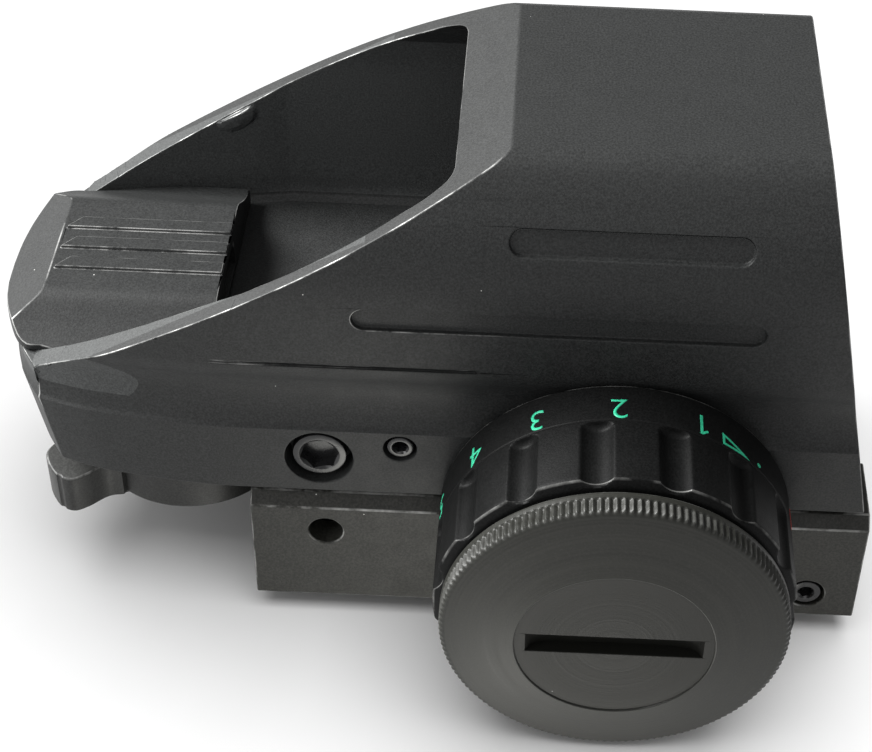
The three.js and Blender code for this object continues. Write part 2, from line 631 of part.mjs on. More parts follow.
// The wiper runs outside the circle that the detent ball and its tube stand on.
const wiper_contact = box(KNOB_X - 13.2, KNOB_X - 11.5, -26.85, -26.45, KNOB_Z - 1.2, KNOB_Z + 1.2)
  .add(box(KNOB_X - 12.2, KNOB_X - 11.8, -26.6, -23.5, KNOB_Z - 0.9, KNOB_Z + 0.9));
const detent_ball = solid(new THREE.SphereGeometry(1.15, 10, 7).translate(detentX, -25.35, detentZ));
const detent_spring = spring("y", detentX, detentZ, -23.9, -21.2, 0.95, 0.2, 4);

let rheostat_knob = turned("y", KNOB_X, KNOB_Z, [
  [13.5, -19.3], [13.5, -26.9], [5.4, -26.9], [1.8, -26.9], [1.8, -27.5], [3.0, -27.5],
  [3.0, -28.7], [10.5, -28.7], [10.5, -30.0], [12.4, -30.0], [12.4, -32.7], [14.9, -32.7],
  [14.9, -32.0], [16.2, -31.9], [KNOB_R, -31.45], [KNOB_R, -24.15], [KNOB_R - 0.12, -24.02],
  [KNOB_R, -23.9], [KNOB_R, -19.8], [KNOB_R - 0.3, -19.3], [13.5, -19.3],
], 52);
// Grip flutes, from the number band out through the end of the barrel.
for (let i = 0; i < FLUTES; i++) {
  const a = THREE.MathUtils.degToRad(FLUTE_PHASE) + (i * 2 * Math.PI) / FLUTES;
  const R = KNOB_R + 1.22;
  rheostat_knob = rheostat_knob.subtract(
    cyl("y", KNOB_X + R * Math.sin(a), KNOB_Z + R * Math.cos(a), -33.0, -24.15, FLUTE_R, 14),
  );
}
rheostat_knob = rheostat_knob.subtract(
  cyl("y", detentX, detentZ, -27.7, -26.7, 1.0, 12), // detent dimple
);
const knob_retaining_screw = screw(
  "y", KNOB_X, KNOB_Z, -28.6, 1,
  { headR: 2.6, headH: 0.8, shankR: 1.4, shankL: 7.4, hexR: 1.1, hexD: 0.55 }, 20,
);
const battery_spring = turned("y", KNOB_X, KNOB_Z, [
  [3.4, -29.0], [3.4, -29.3], [8.6, -29.55], [8.6, -29.25], [3.4, -29.0],
], 28);
const coin_cell = turned("y", KNOB_X, KNOB_Z, [
  [0, -29.85], [8.7, -29.85], [9.0, -30.15], [9.95, -30.3], [9.95, -32.8], [9.7, -33.05],
  [0, -33.05],
], 36);
const cap_seal = turned("y", KNOB_X, KNOB_Z, [
  [12.7, -33.15], [14.3, -33.15], [14.3, -32.98], [12.7, -32.98], [12.7, -33.15],
], 40);
let battery_cap = turned("y", KNOB_X, KNOB_Z, [
  [0, -33.4], [10.3, -33.4], [10.3, -30.5], [12.05, -30.5], [12.05, -33.4], [12.1, -33.45],
  [15.2, -33.45], [15.2, -32.4], [CAP_R, -32.4], [CAP_R, -34.55], [CAP_R - 0.4, -34.85],
  [9.4, CAP_FACE_Y], [9.25, CAP_FACE_Y + 0.17], [0, CAP_FACE_Y + 0.17],
], 48);
// Coin slot, cut with a round saw: deep in the middle and running out at both ends.
const slotSaw = [];
for (let i = 0; i <= 12; i++) {
  const a = THREE.MathUtils.degToRad(-17 + (i * 34) / 12);
  slotSaw.push([KNOB_X + 31 * Math.sin(a), CAP_FACE_Y + 1.3 - 31 + 31 * Math.cos(a)]);
}
battery_cap = battery_cap.subtract(prismXY(slotSaw, KNOB_Z - 1.15, KNOB_Z + 1.15));

// Two-core lead from the contact disc to the LED, under the deck.
const led_wires = solid(
  new THREE.ExtrudeGeometry(
    shapeOf([0, 1, 2, 3, 4].map((k) => [0.5 * Math.cos(k * 0.4 * Math.PI), 0.5 * Math.sin(k * 0.4 * Math.PI)])),
    {
      steps: 40,
      bevelEnabled: false,
      extrudePath: new THREE.CatmullRomCurve3(
        [
          [15.35, -17.8, 3.4], [15.3, -14.5, 3.2], [13.2, -8.0, 2.6], [11.0, -2.4, 1.7], [8.2, -0.15, 1.4],
          [4.0, 0, 1.3], [-4.0, 0, 1.3], [-8.5, 1.2, 1.3], [-10.8, 5.2, 1.6],
          [-16.0, 7.4, 1.9], [-24.5, 7.3, 1.9], [-31.5, 7.2, 2.9], [-34.9, 6.6, 4.2],
          [-35.6, 4.0, 5.4], [-35.6, 1.5, 6.4],
        ].map((p) => new THREE.Vector3(...p)),
      ),
    },
  ),
);

// ---- scene graph --------------------------------------------------------------------
const finish = (color, roughness, metalness) =>
  new THREE.MeshStandardMaterial({ color, roughness, metalness });
const castBlack = () => finish(0x2b2c2c, 0.62, 0.45);
const anodised = () => finish(0x232524, 0.5, 0.5);
const blackSteel = () => finish(0x1c1d1e, 0.38, 0.8);
const steel = () => finish(0x9a9c9e, 0.32, 0.95);
const brass = () => finish(0xb08a46, 0.35, 0.95);
const plastic = () => finish(0x1f2021, 0.7, 0.0);
const springSteel = () => finish(0x8b8e92, 0.35, 0.95);

const finder = new THREE.Group();
finder.name = "red_dot_finder";
finder.position.set(-SADDLE_X, 0, -SADDLE_Z);
const put = (parent, name, s, material) => {
  const mesh = new THREE.Mesh(geometryOf(s), material);
  mesh.name = name;
  parent.add(mesh);
};
const bodyGroup = new THREE.Group(),
  pointer = new THREE.Group(),
  mount = new THREE.Group(),
  turret = new THREE.Group();
finder.add(bodyGroup, pointer, mount, turret);

put(bodyGroup, "housing", housing, castBlack());
const glass = finish(0x5a2f38, 0.05, 0.0);
glass.transparent = true;
glass.opacity = 0.35;
put(bodyGroup, "objective_lens", objective_lens, glass);
put(bodyGroup, "lens_frame", lens_frame, plastic());
put(bodyGroup, "emitter_cover", emitter_cover, anodised());
put(bodyGroup, "cover_screw_left", cover_screw_left, blackSteel());
put(bodyGroup, "cover_screw_right", cover_screw_right, blackSteel());

put(pointer, "bottom_plate", bottom_plate, anodised());
put(pointer, "bottom_plate_screw_left", bottom_plate_screw_left, blackSteel());
put(pointer, "bottom_plate_screw_right", bottom_plate_screw_right, blackSteel());
put(pointer, "selector_lever", selector_lever, anodised());
put(pointer, "selector_spindle", selector_spindle, steel());
put(pointer, "lever_screw", lever_screw, blackSteel());
put(pointer, "reticle_drum", reticle_drum, brass());
put(pointer, "gimbal_pin", gimbal_pin, steel());
put(pointer, "gimbal_block", gimbal_block, brass());
put(pointer, "emitter_arm", emitter_arm, steel());
put(pointer, "led_emitter", led_emitter, finish(0xb03030, 0.2, 0.0));
put(pointer, "led_holder", led_holder, plastic());
put(pointer, "windage_screw", windage_screw, blackSteel());
put(pointer, "windage_lock_screw", windage_lock_screw, blackSteel());
put(pointer, "elevation_screw", elevation_screw, blackSteel());
put(pointer, "elevation_lock_screw", elevation_lock_screw, blackSteel());
put(pointer, "windage_spring", windage_spring, springSteel());
put(pointer, "elevation_spring", elevation_spring, springSteel());
put(pointer, "led_wires", led_wires, plastic());

put(mount, "rail_base", rail_base, anodised());
base_screws.forEach((s, i) => put(mount, `base_screw_${i + 1}`, s, blackSteel()));
put(mount, "fixed_jaw", fixed_jaw, anodised());
put(mount, "moving_jaw", moving_jaw, anodised());
put(mount, "jaw_bolt_rear", jaw_bolt_rear, blackSteel());
put(mount, "jaw_bolt_front", jaw_bolt_front, blackSteel());
put(mount, "jaw_grub_screw", jaw_grub_screw, blackSteel());
jaw_dowels.forEach((s, i) => put(mount, `jaw_dowel_${i + 1}`, s, steel()));

put(turret, "turret_base", turret_base, anodised());
turret_screws.forEach((s, i) => put(turret, `turret_screw_${i + 1}`, s, blackSteel()));
put(turret, "contact_disc", contact_disc, finish(0x2e5a38, 0.55, 0.1));
put(turret, "wiper_contact", wiper_contact, brass());
put(turret, "detent_ball", detent_ball, steel());
put(turret, "detent_spring", detent_spring, springSteel());
put(turret, "rheostat_knob", rheostat_knob, anodised());
put(turret, "knob_retaining_screw", knob_retaining_screw, blackSteel());
put(turret, "battery_spring", battery_spring, springSteel());
put(turret, "coin_cell", coin_cell, steel());
put(turret, "cap_seal", cap_seal, finish(0x151515, 0.85, 0.0));
put(turret, "battery_cap", battery_cap, anodised());

export default finder;
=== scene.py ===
import math

import bmesh
import bpy
from mathutils.bvhtree import BVHTree
from mathutils import Matrix, Vector


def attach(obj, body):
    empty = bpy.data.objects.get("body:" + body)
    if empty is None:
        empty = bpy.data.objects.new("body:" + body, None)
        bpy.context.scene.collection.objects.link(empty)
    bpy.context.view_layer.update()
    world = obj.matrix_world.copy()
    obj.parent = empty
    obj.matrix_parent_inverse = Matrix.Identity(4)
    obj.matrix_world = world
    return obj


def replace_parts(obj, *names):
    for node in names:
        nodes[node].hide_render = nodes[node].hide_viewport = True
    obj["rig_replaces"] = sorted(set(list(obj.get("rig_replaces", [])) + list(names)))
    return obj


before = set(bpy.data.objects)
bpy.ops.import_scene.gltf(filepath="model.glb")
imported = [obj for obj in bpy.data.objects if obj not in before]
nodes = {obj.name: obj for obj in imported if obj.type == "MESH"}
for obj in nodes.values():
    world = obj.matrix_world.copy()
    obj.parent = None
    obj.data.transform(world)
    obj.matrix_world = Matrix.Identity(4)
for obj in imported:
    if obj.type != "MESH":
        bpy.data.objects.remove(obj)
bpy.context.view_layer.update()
scene = bpy.context.scene

# =====================================================================================
# The fine pieces are built in millimetres from the underside of the housing (z = 0) and
# the centre plane (y = 0), then moved into the row frame in metres.
# =====================================================================================
SX, SZ = 10.0, -9.0
TO_PART = Matrix.Diagonal((0.001, 0.001, 0.001, 1.0)) @ Matrix.Translation((-SX, 0.0, -SZ))

FRONT_X0, FRONT_LEAN = 40.0, 0.1992
HOOD_TOP = 37.56
CUT_SLOPE, CUT_X, CUT_Z = 0.577, -33.8, 15.74
DECK_Z, REAR_RIM_Z, ROOF_IN = 9.5, 11.3, 34.6
KX, KZ = 15.35, -0.6
PIVOT_X = -29.2
LIP = 2.2
GATE_X, GATE_Z = -25.7, 19.6


def front_x(z):
    return FRONT_X0 - FRONT_LEAN * z


# ---- mesh helpers -------------------------------------------------------------------
def new_obj(name, verts, faces):
    me = bpy.data.meshes.new(name)
    me.from_pydata([tuple(map(float, v)) for v in verts], [], faces)
    me.validate()
    ob = bpy.data.objects.new(name, me)
    scene.collection.objects.link(ob)
    bm = bmesh.new()
    bm.from_mesh(me)
    bmesh.ops.recalc_face_normals(bm, faces=bm.faces)
    if bm.calc_volume(signed=True) < 0:
        bmesh.ops.reverse_faces(bm, faces=bm.faces)
    bm.to_mesh(me)
    bm.free()
    return ob


def bake(ob):
    """The modifiers' result becomes the mesh."""
    bpy.context.view_layer.update()
    dg = bpy.context.evaluated_depsgraph_get()
    me = bpy.data.meshes.new_from_object(ob.evaluated_get(dg))
    ob.modifiers.clear()
    old = ob.data
    ob.data = me
    me.name = ob.name
    bpy.data.meshes.remove(old)
    return ob


def remove(ob):
    me = ob.data
    bpy.data.objects.remove(ob)
    bpy.data.meshes.remove(me)


def boolean(ob, cutter, op="DIFFERENCE", solver="EXACT"):
    m = ob.modifiers.new("b", "BOOLEAN")
    m.operation = op
    m.solver = solver
    m.object = cutter
    bake(ob)
    remove(cutter)
    return ob


def tidy(ob, dist=0.004):
    bm = bmesh.new()
    bm.from_mesh(ob.data)
    bmesh.ops.remove_doubles(bm, verts=bm.verts, dist=dist)
    bmesh.ops.dissolve_degenerate(bm, edges=bm.edges, dist=dist)
    loose = [v for v in bm.verts if not v.link_faces]
    bmesh.ops.delete(bm, geom=loose, context="VERTS")
    bmesh.ops.recalc_face_normals(bm, faces=bm.faces)
    if bm.calc_volume(signed=True) < 0:
        bmesh.ops.reverse_faces(bm, faces=bm.faces)
    bm.to_mesh(ob.data)
    bm.free()
    return ob


def bevel(ob, width, segments=2, angle=32, pick=None):
    """Rounds the sharp edges, or only those that pick(midpoint, edge) chooses, and marks their crest."""
    bm = bmesh.new()
    bm.from_mesh(ob.data)
    bmesh.ops.triangulate(bm, faces=[f for f in bm.faces if len(f.verts) > 4], ngon_method="BEAUTY")
    lim = math.radians(angle)
    edges = []
    for e in bm.edges:
        if len(e.link_faces) != 2:
            continue
        if e.calc_face_angle(0) < lim:
            continue
        if pick is not None and not pick((e.verts[0].co + e.verts[1].co) / 2, e):
            continue
        edges.append(e)
    crest = bm.verts.layers.float.get("crest") or bm.verts.layers.float.new("crest")
    mark = bm.faces.layers.int.get("rounded") or bm.faces.layers.int.new("rounded")
    if edges:
        before = BVHTree.FromBMesh(bm)
        hollow = [tuple((e.verts[0].co + e.verts[1].co) / 2) for e in edges if not e.is_convex]
        ret = bmesh.ops.bevel(
            bm, geom=edges, offset=width, offset_type="OFFSET", segments=segments, profile=0.5, affect="EDGES",
            clamp_overlap=False, loop_slide=False, miter_outer="ARC", material=-1,
        )
        new = set(ret["faces"])
        for f in new:
            f[mark] = 1
        # a mitre that ran away from the surface is brought back to it
        for v in bm.verts:
            near, _, _, dist = before.find_nearest(v.co)
            if near is not None and dist > width * 0.75:
                v.co = near
        from mathutils.kdtree import KDTree
        kd = KDTree(max(1, len(hollow)))
        for k, p in enumerate(hollow):
            kd.insert(p, k)
        kd.balance()
        for v in bm.verts:
            if v.link_faces and all(f in new for f in v.link_faces):
                v[crest] = 0.0 if hollow and kd.find(v.co)[2] < width * 1.6 else 1.0
    bm.to_mesh(ob.data)
    bm.free()
    return ob


def smooth(ob, angle=38):
    """Smooth shading that breaks at sharp edges; a rounded edge takes the direction of the faces it joins."""
    bm = bmesh.new()
    bm.from_mesh(ob.data)
    lim = math.radians(angle)
    mark = bm.faces.layers.int.get("rounded")
    bm.edges.index_update()
    sharp = set()
    for f in bm.faces:
        f.smooth = True
    for e in bm.edges:
        hard = len(e.link_faces) != 2 or e.calc_face_angle(0) > lim
        e.smooth = not hard
        if hard:
            sharp.add(e.index)
    bm.to_mesh(ob.data)
    area = {f.index: f.calc_area() for f in bm.faces}
    flat = {f.index: not (mark and f[mark]) for f in bm.faces}
    corner = {}
    for v in bm.verts:
        todo = set(v.link_faces)
        while todo:
            seed = todo.pop()
            group, stack = [seed], [seed]
            while stack:
                f = stack.pop()
                for e in f.edges:
                    if v in e.verts and e.index not in sharp:
                        for g in e.link_faces:
                            if g in todo:
                                todo.discard(g)
                                group.append(g)
                                stack.append(g)
            use = [g for g in group if flat[g.index]] or group
            n = Vector((0, 0, 0))
            for g in use:
                n += g.normal * max(area[g.index], 1e-9)
            n = n.normalized() if n.length > 0 else v.normal
            for g in group:
                corner[(g.index, v.index)] = n
    bm.free()
    me = ob.data
    normals = []
    for p in me.polygons:
        for li in p.loop_indices:
            normals.append(tuple(corner[(p.index, me.loops[li].vertex_index)]))
    me.normals_split_custom_set(normals)
    return ob


def crests(ob, share, scale=False):
    """Sets, or scales, how much each vertex counts as a worn edge; share takes its position."""
    at = ob.data.attributes.get("crest") or ob.data.attributes.new("crest", "FLOAT", "POINT")
    for v, d in zip(ob.data.vertices, at.data):
        d.value = d.value * share(v.co) if scale else share(v.co)
    return ob


def place(ob):
    ob.data.transform(TO_PART)
    ob.data.update()
    return ob


def prism(name, pts, a0, a1, plane):
    """A prism of the closed outline pts; plane is 'xy', 'xz' or 'yz'; a0..a1 along the third axis."""
    def at(p, a):
        if plane == "xy":
            return (p[0], p[1], a)
        if plane == "xz":
            return (p[0], a, p[1])
        return (a, p[0], p[1])
    n = len(pts)
    verts = [at(p, a0) for p in pts] + [at(p, a1) for p in pts]
    faces = [list(range(n))[::-1], [i + n for i in range(n)]]
    faces += [[i, (i + 1) % n, (i + 1) % n + n, i + n] for i in range(n)]
    return new_obj(name, verts, faces)


def block(name, x0, x1, y0, y1, z0, z1):
    return prism(name, [(x0, y0), (x1, y0), (x1, y1), (x0, y1)], z0, z1, "xy")


def lathe(name, axis, u, v, profile, seg=64, start=0.0):
    """Turns [radius, station] points round an axis; a profile off the axis closes on itself."""
    ring = []
    closed = profile[0][0] > 1e-6
    prof = profile[:-1] if closed and profile[0] == profile[-1] else profile
    verts, rows = [], []
    for r, s in prof:
        if r < 1e-6:
            rows.append([len(verts)])
            verts.append(axis_point(axis, u, v, 0, 0, s))
        else:
            row = []
            for k in range(seg):
                a = start + 2 * math.pi * k / seg
                row.append(len(verts))
                verts.append(axis_point(axis, u, v, r * math.cos(a), r * math.sin(a), s))
            rows.append(row)
    faces = []
    pairs = list(zip(rows[:-1], rows[1:]))
    if closed:
        pairs.append((rows[-1], rows[0]))
    for a, b in pairs:
        for k in range(seg):
            k1 = (k + 1) % seg
            if len(a) == 1 and len(b) == 1:
                continue
            if len(a) == 1:
                faces.append([a[0], b[k1], b[k]])
            elif len(b) == 1:
                faces.append([a[k], a[k1], b[0]])
            else:
                faces.append([a[k], a[k1], b[k1], b[k]])
    return new_obj(name, verts, faces)


def axis_point(axis, u, v, p, q, s):
    if axis == "x":
        return (s, u + p, v + q)
    if axis == "y":
        return (u + p, s, v + q)
    return (u + p, v + q, s)


def cylinder(axis, u, v, s0, s1, r, seg=64, r1=None, start=0.0):
    r1 = r if r1 is None else r1
    return lathe("c", axis, u, v, [(0, s0), (r, s0), (r1, s1), (0, s1)], seg, start)


def spline(points, per=6, sharp=()):
    """Catmull-Rom through 2-D points; indices in sharp stay corners."""
    pts = [Vector(p) for p in points]
    out = []
    n = len(pts)
    for i in range(n - 1):
        p1, p2 = pts[i], pts[i + 1]
        p0 = pts[i - 1] if i > 0 and i not in sharp else p1 - (p2 - p1)
        p3 = pts[i + 2] if i + 2 < n and (i + 1) not in sharp else p2 + (p2 - p1)
        steps = per if isinstance(per, int) else max(1, int(math.ceil((p2 - p1).length / per)))
        for k in range(steps):
            t = k / steps
            # centripetal-like tangents scaled to the span keep the curve from overshooting
            d = (p2 - p1).length
            m1 = (p2 - p0) / max(1e-9, (p1 - p0).length + d) * d
            m2 = (p3 - p1) / max(1e-9, d + (p3 - p2).length) * d
            h = (2 * t**3 - 3 * t**2 + 1) * p1 + (t**3 - 2 * t**2 + t) * m1 + (-2 * t**3 + 3 * t**2) * p2 + (t**3 - t**2) * m2
            out.append((h.x, h.y))
    out.append(tuple(pts[-1]))
    return out


# =====================================================================================
# Outlines of the housing
# =====================================================================================
PLAN = [
    (-20, 18.8), (-24, 18.72), (-28, 18.4), (-31, 18.05), (-34, 17.65), (-37, 17.15), (-40, 16.35), (-41.8, 15.75),
    (-42.8, 14.3), (-44.1, 12.1), (-45.0, 9.8), (-45.7, 7.4), (-46.3, 4.5), (-46.53, 2.2), (-46.6, 0.0),
]
SECTION = [
    (18.5, 0.0), (18.5, 8.1), (18.25, 8.5), (18.05, 9.2), (17.85, 10.1), (17.72, 11.23),
    (17.69, 12.27), (17.81, 13.17), (18.1, 14.2), (18.42, 15.0), (18.64, 15.8), (18.72, 16.6), (18.74, 20), (18.76, 22.6), (18.74, 24.4),
    (18.7, 25.25), (18.55, 26.54), (18.28, 27.82), (17.96, 29.06), (17.5, 30.29),
    (16.98, 31.46), (16.34, 32.64), (15.57, 33.83), (14.78, 35.0), (13.55, 36.55),
    (12.7, 37.2), (11.74, HOOD_TOP),
]
CAVITY = [
    (15.6, DECK_Z), (16.4, 10.0), (16.75, 11.5), (16.93, 17), (16.93, 24.66), (16.86, 26.8),
    (16.34, 28.9), (15.66, 30.6), (14.81, 31.96), (14.13, 33.1), (13.1, 34.06),
    (12.2, 34.45), (11.2, ROOF_IN),
]
CAVITY_PLAN = [
    (-20, 16.93), (-22.4, 16.5), (-26.8, 15.9), (-31.2, 15.2), (-35.7, 14.25),
    (-39.4, 13.1), (-41.2, 12.4), (-42.1, 11.2), (-42.3, 9.6),
]


def ring_solid(name, plan_half, section, base_w, front_at, lean=False, closed_tail=True, corner=()):
    """Rings stacked up a section; each follows the plan outline, offset inward by the section."""
    half = spline(plan_half, 5, sharp=corner)
    side = [(x, plan_half[0][1]) for x in (24, 16, 8, 0, -8, -14)]
    outline = side + half  # right half, front to tail
    # outward normals of the plan curve
    def normal(i, pts):
        a = Vector(pts[max(0, i - 1)])
        b = Vector(pts[min(len(pts) - 1, i + 1)])
        d = (b - a).normalized()
        n = Vector((d.y, -d.x))
        return n if n.y > 0 or n.x < 0 else -n
    ns = []
    for i in range(len(outline)):
        if outline[i][0] >= -20:
            ns.append(Vector((0, 1)))
        else:
            ns.append(normal(i, outline))
    if closed_tail:
        ns[-1] = Vector((-1, 0))
    rings = []
    for w, z in section:
        d = w - base_w
        pts = []
        for (x, y), n in zip(outline, ns):
            k = d
            if z > 15 and x < -26:
                k = max(d, -1.6)
            px, py = x + n.x * k, y + n.y * k
            if lean and px < -24:
                px += min(2.2, 0.17 * (12 - z)) * min(1.0, (-24 - px) / 18)
            pts.append((px, py))
        fx = front_at(z)
        right = [(fx, base_w + d)] + pts
        left = [(x, -y) for x, y in reversed(right)]
        if closed_tail:
            left = left[1:]
        loop = right + left
        rings.append([(x, y, z) for x, y in loop])
    n = len(rings[0])
    verts = [p for r in rings for p in r]
    faces = []
    for k in range(len(rings) - 1):
        for i in range(n):
            j = (i + 1) % n
            faces.append([k * n + i, k * n + j, (k + 1) * n + j, (k + 1) * n + i])
    faces.append(list(range(n))[::-1])
    faces.append([(len(rings) - 1) * n + i for i in range(n)])
    return new_obj(name, verts, faces)


SEC_FINE = spline(SECTION, 3, sharp=(0, 1, 2, 25))
CAV_FINE = spline(CAVITY, 3, sharp=(0, 12))


def capsule(x0, x1, z0, z1, n=12):
    r, zc = (z1 - z0) / 2, (z0 + z1) / 2
    pts = [(x1 - r + r * math.cos(-math.pi / 2 + math.pi * i / n), zc + r * math.sin(-math.pi / 2 + math.pi * i / n)) for i in range(n + 1)]
    pts += [(x0 + r + r * math.cos(math.pi / 2 + math.pi * i / n), zc + r * math.sin(math.pi / 2 + math.pi * i / n)) for i in range(n + 1)]
    return pts


def build_housing():
    ob = ring_solid("housing_shell", PLAN, SEC_FINE, 18.8, front_x, lean=True, corner=(7,))
    # the inclined rear cut and the rim of the tail
    x_rim = CUT_X + (REAR_RIM_Z - CUT_Z) / CUT_SLOPE
    ob = boolean(ob, prism("cut", [(-60, REAR_RIM_Z), (x_rim, REAR_RIM_Z), (4.05, HOOD_TOP), (4.05 + 10, HOOD_TOP + 5.77), (-60, 50)], -30, 30, "xz"))
    cav = ring_solid("cav", CAVITY_PLAN, CAV_FINE, 16.93, lambda z: front_x(z) - LIP, closed_tail=False)
    # behind the trough the floor steps up to the shelf that carries the cover
    cav = boolean(cav, prism("shelf", [(-60, 5), (-38.2, 5), (-38.2, REAR_RIM_Z), (-60, REAR_RIM_Z)], -30, 30, "xz"))
    ob = boolean(ob, cav)
    win = [
        (14.2, 10.7), (15.1, 11.1), (15.65, 12.0), (15.85, 13.4), (15.85, 24.6), (15.6, 27.2), (14.8, 29.8),
        (13.6, 31.8), (12.2, 33.1), (10.8, 33.5),
    ]
    win = spline(win, 3, sharp=(0, 9))
    loop = win + [(-w, z) for w, z in reversed(win)]
    ob = boolean(ob, prism("win", loop, 20, 60, "yz"))
    # underside pockets
    for b in (
        (-38.2, -19.2, -11.2, 11.2, -1, 1.2), (-37, -7.6, -9, 9, 1.0, 8), (8, 24, -15.5, 4, -1, 6.6),
        (-8, 8.5, -1.3, 1.3, -1, 2.6), (-34.9, -32.4, -2.2, 2.2, 7.5, 12),
    ):
        ob = boolean(ob, block("p", *b))
    # boss that carries the elevation screw, and its holes
    boss = lathe("boss", "z", -10.5, 0, [(0, 9), (4.7, 9), (4.4, 9.9), (4.3, 11.9), (4.0, 12.2), (0, 12.2)], 56)
    ob = boolean(ob, boss, "UNION")
    for c in (
        ("z", -10.5, 0, 10.0, 13, 3.0, 48), ("z", -10.5, 0, 7, 11, 1.8, 32), ("z", -3.4, 0, 5.6, 10.6, 1.6, 32),
        ("z", PIVOT_X, 0, 7, 12, 2.7, 32),
        ("y", -13.6, 4.4, -20, -15.6, 3.3, 64), ("y", -13.6, 4.4, -16, -8.5, 1.8, 32),
        ("y", -5.7, 6.1, -20, -11.4, 1.6, 40),
        ("y", -21.5, 4.0, -12.5, 12.5, 1.3, 20),
        ("y", KX, 3.4, -20, -15, 2.2, 24),
        ("z", -2.5, 5.5, -1, 6, 1.8, 20), ("z", -2.5, -5.5, -1, 6, 1.8, 20), ("z", 33, 5.5, -1, 6, 1.8, 20),
        ("z", 33, -5.5, -1, 6, 1.8, 20), ("z", -33, 11.55, -1, 12, 1.9, 20), ("z", -33, -11.55, -1, 12, 1.9, 20),
        ("z", -35.6, 9.08, 0, 5.5, 1.3, 16), ("z", -35.6, -9.08, 0, 5.5, 1.3, 16),
        ("y", KX - 8.5, 4.2, -20, -12.6, 1.4, 16), ("y", KX + 8.5, 4.2, -20, -12.6, 1.4, 16),
    ):
        ob = boolean(ob, cylinder(*c))
    for s in (-1, 1):
        # long slots: a round-nosed cutter follows the side
        ob = boolean(ob, prism("slot", capsule(-10, 27.9, 21.3, 23.7), *sorted((s * 18.25, s * 22)), "xz"))
        up = prism("slot", capsule(4.2, 26.1, 29.75, 32.15), *sorted((s * 15.5, s * 22)), "xz")
        keep = prism("k", [(s * 16.15, 33.0), (s * 17.4, 29.2), (s * 22, 29.2), (s * 22, 33.0)], 0, 30, "yz")
        up = boolean(up, keep, "INTERSECT")
        ob = boolean(ob, up)
        # fine parting line above the waist
        ob = boolean(ob, prism("line", [(-24.2, 16.52), (1.6, 16.55), (1.6, 16.75), (-24.2, 16.72)], *sorted((s * 18.63, s * 20)), "xz"))
    # a low rounded swelling under the rim of the left wing
    gate = lathe("gate", "y", 0, 0, [(0, 15.55), (1.0, 15.62), (1.75, 15.95), (2.2, 16.5), (2.3, 17.2), (0, 17.2)], 40)
    gate.data.transform(Matrix.Translation((GATE_X, 0, GATE_Z)) @ Matrix.Rotation(math.radians(-30), 4, "Y") @ Matrix.Diagonal((1.35, 1, 0.75, 1)))
    under = [(-40, 5), (-10, 5), (-10, CUT_Z + (-10 - CUT_X) * CUT_SLOPE - 0.25), (-40, CUT_Z + (-40 - CUT_X) * CUT_SLOPE - 0.25)]
    gate = boolean(gate, prism("gk", under, 12, 20, "xz"), "INTERSECT")
    ob = boolean(ob, gate, "UNION")
    return tidy(ob)



# =====================================================================================
# Emitter cover, lens and its frame
# =====================================================================================
COVER_SECTION = [(14.6, 11.6), (13.2, 11.85), (11.9, 12.4), (10.4, 13.2), (9.1, 14.0), (8.1, 14.6), (7.3, 14.88), (6.3, 14.95)]
COVER_PLAN = [
    (-26.8, 15.6), (-31.2, 14.85), (-35.7, 13.9), (-39.4, 12.8), (-41.0, 12.4), (-42.3, 12.35),
    (-43.4, 11.4), (-44.6, 8.9), (-45.5, 6.2), (-46.05, 3.2), (-46.2, 0.0),
]


def build_cover():
    sec = [(14.6, 8.0)] + spline(COVER_SECTION, 3, sharp=(0, 7))
    sec = sec + [(-w, z) for w, z in reversed(sec)]
    ob = prism("cover", sec, -60, -20, "yz")
    plan = [(-24.3, 15.6)] + spline(COVER_PLAN, 3, sharp=(0, 4, 10))
    plan = plan + [(x, -y) for x, y in reversed(plan[:-1])]
    ob = boolean(ob, prism("cp", plan, 0, 30, "xy"), "INTERSECT")
    side = [(-24.3, 9.8), (-24.3, 15.2), (-40.97, 15.2), (-46.9, 11.65), (-46.9, 11.6), (-37.9, 11.6), (-37.9, 9.8)]
    ob = boolean(ob, prism("cs", side, -30, 30, "xz"), "INTERSECT")
    for y in (-3.2, 0.0, 3.2):
        rib = [(-24.34, y - 0.85), (-24.34, y + 0.85), (-39.6, y + 0.85), (-41.0, y - 0.85)]
        ob = boolean(ob, prism("rib", rib, 14.2, 15.3, "xy"), "UNION")
    ob = boolean(ob, cylinder("z", PIVOT_X, 0, 9, 13.9, 4.2, 48))
    ob = boolean(ob, block("b", -35.2, -30, -2.4, 2.4, 9, 13.9))
    ob = boolean(ob, block("b", -26, -22, -3.2, 3.2, 10.6, 13.6))
    for y in (11.55, -11.55):
        ob = boolean(ob, cylinder("z", -33, y, 9, 11.3, 1.3, 20))
    tidy(ob)
    bevel(ob, 0.18, 2, 30, lambda m, e: m.z > 11.7)
    return smooth(ob)


def leaned(pts, x0, x1, name="leaned"):
    ob = prism(name, pts, x0, x1, "yz")
    for v in ob.data.vertices:
        v.co.x -= FRONT_LEAN * v.co.z
    return ob


def inset(pts, d):
    out = []
    for w, z in pts:
        ln = math.hypot(w, z - 22)
        out.append((w - d * w / ln - d * 0.25, z - d * 1.25 * (z - 22) / ln))
    return out


def mirror(pts):
    return list(pts) + [(-w, z) for w, z in reversed(pts)]


LENS_X = front_x(0) - LIP - 0.3


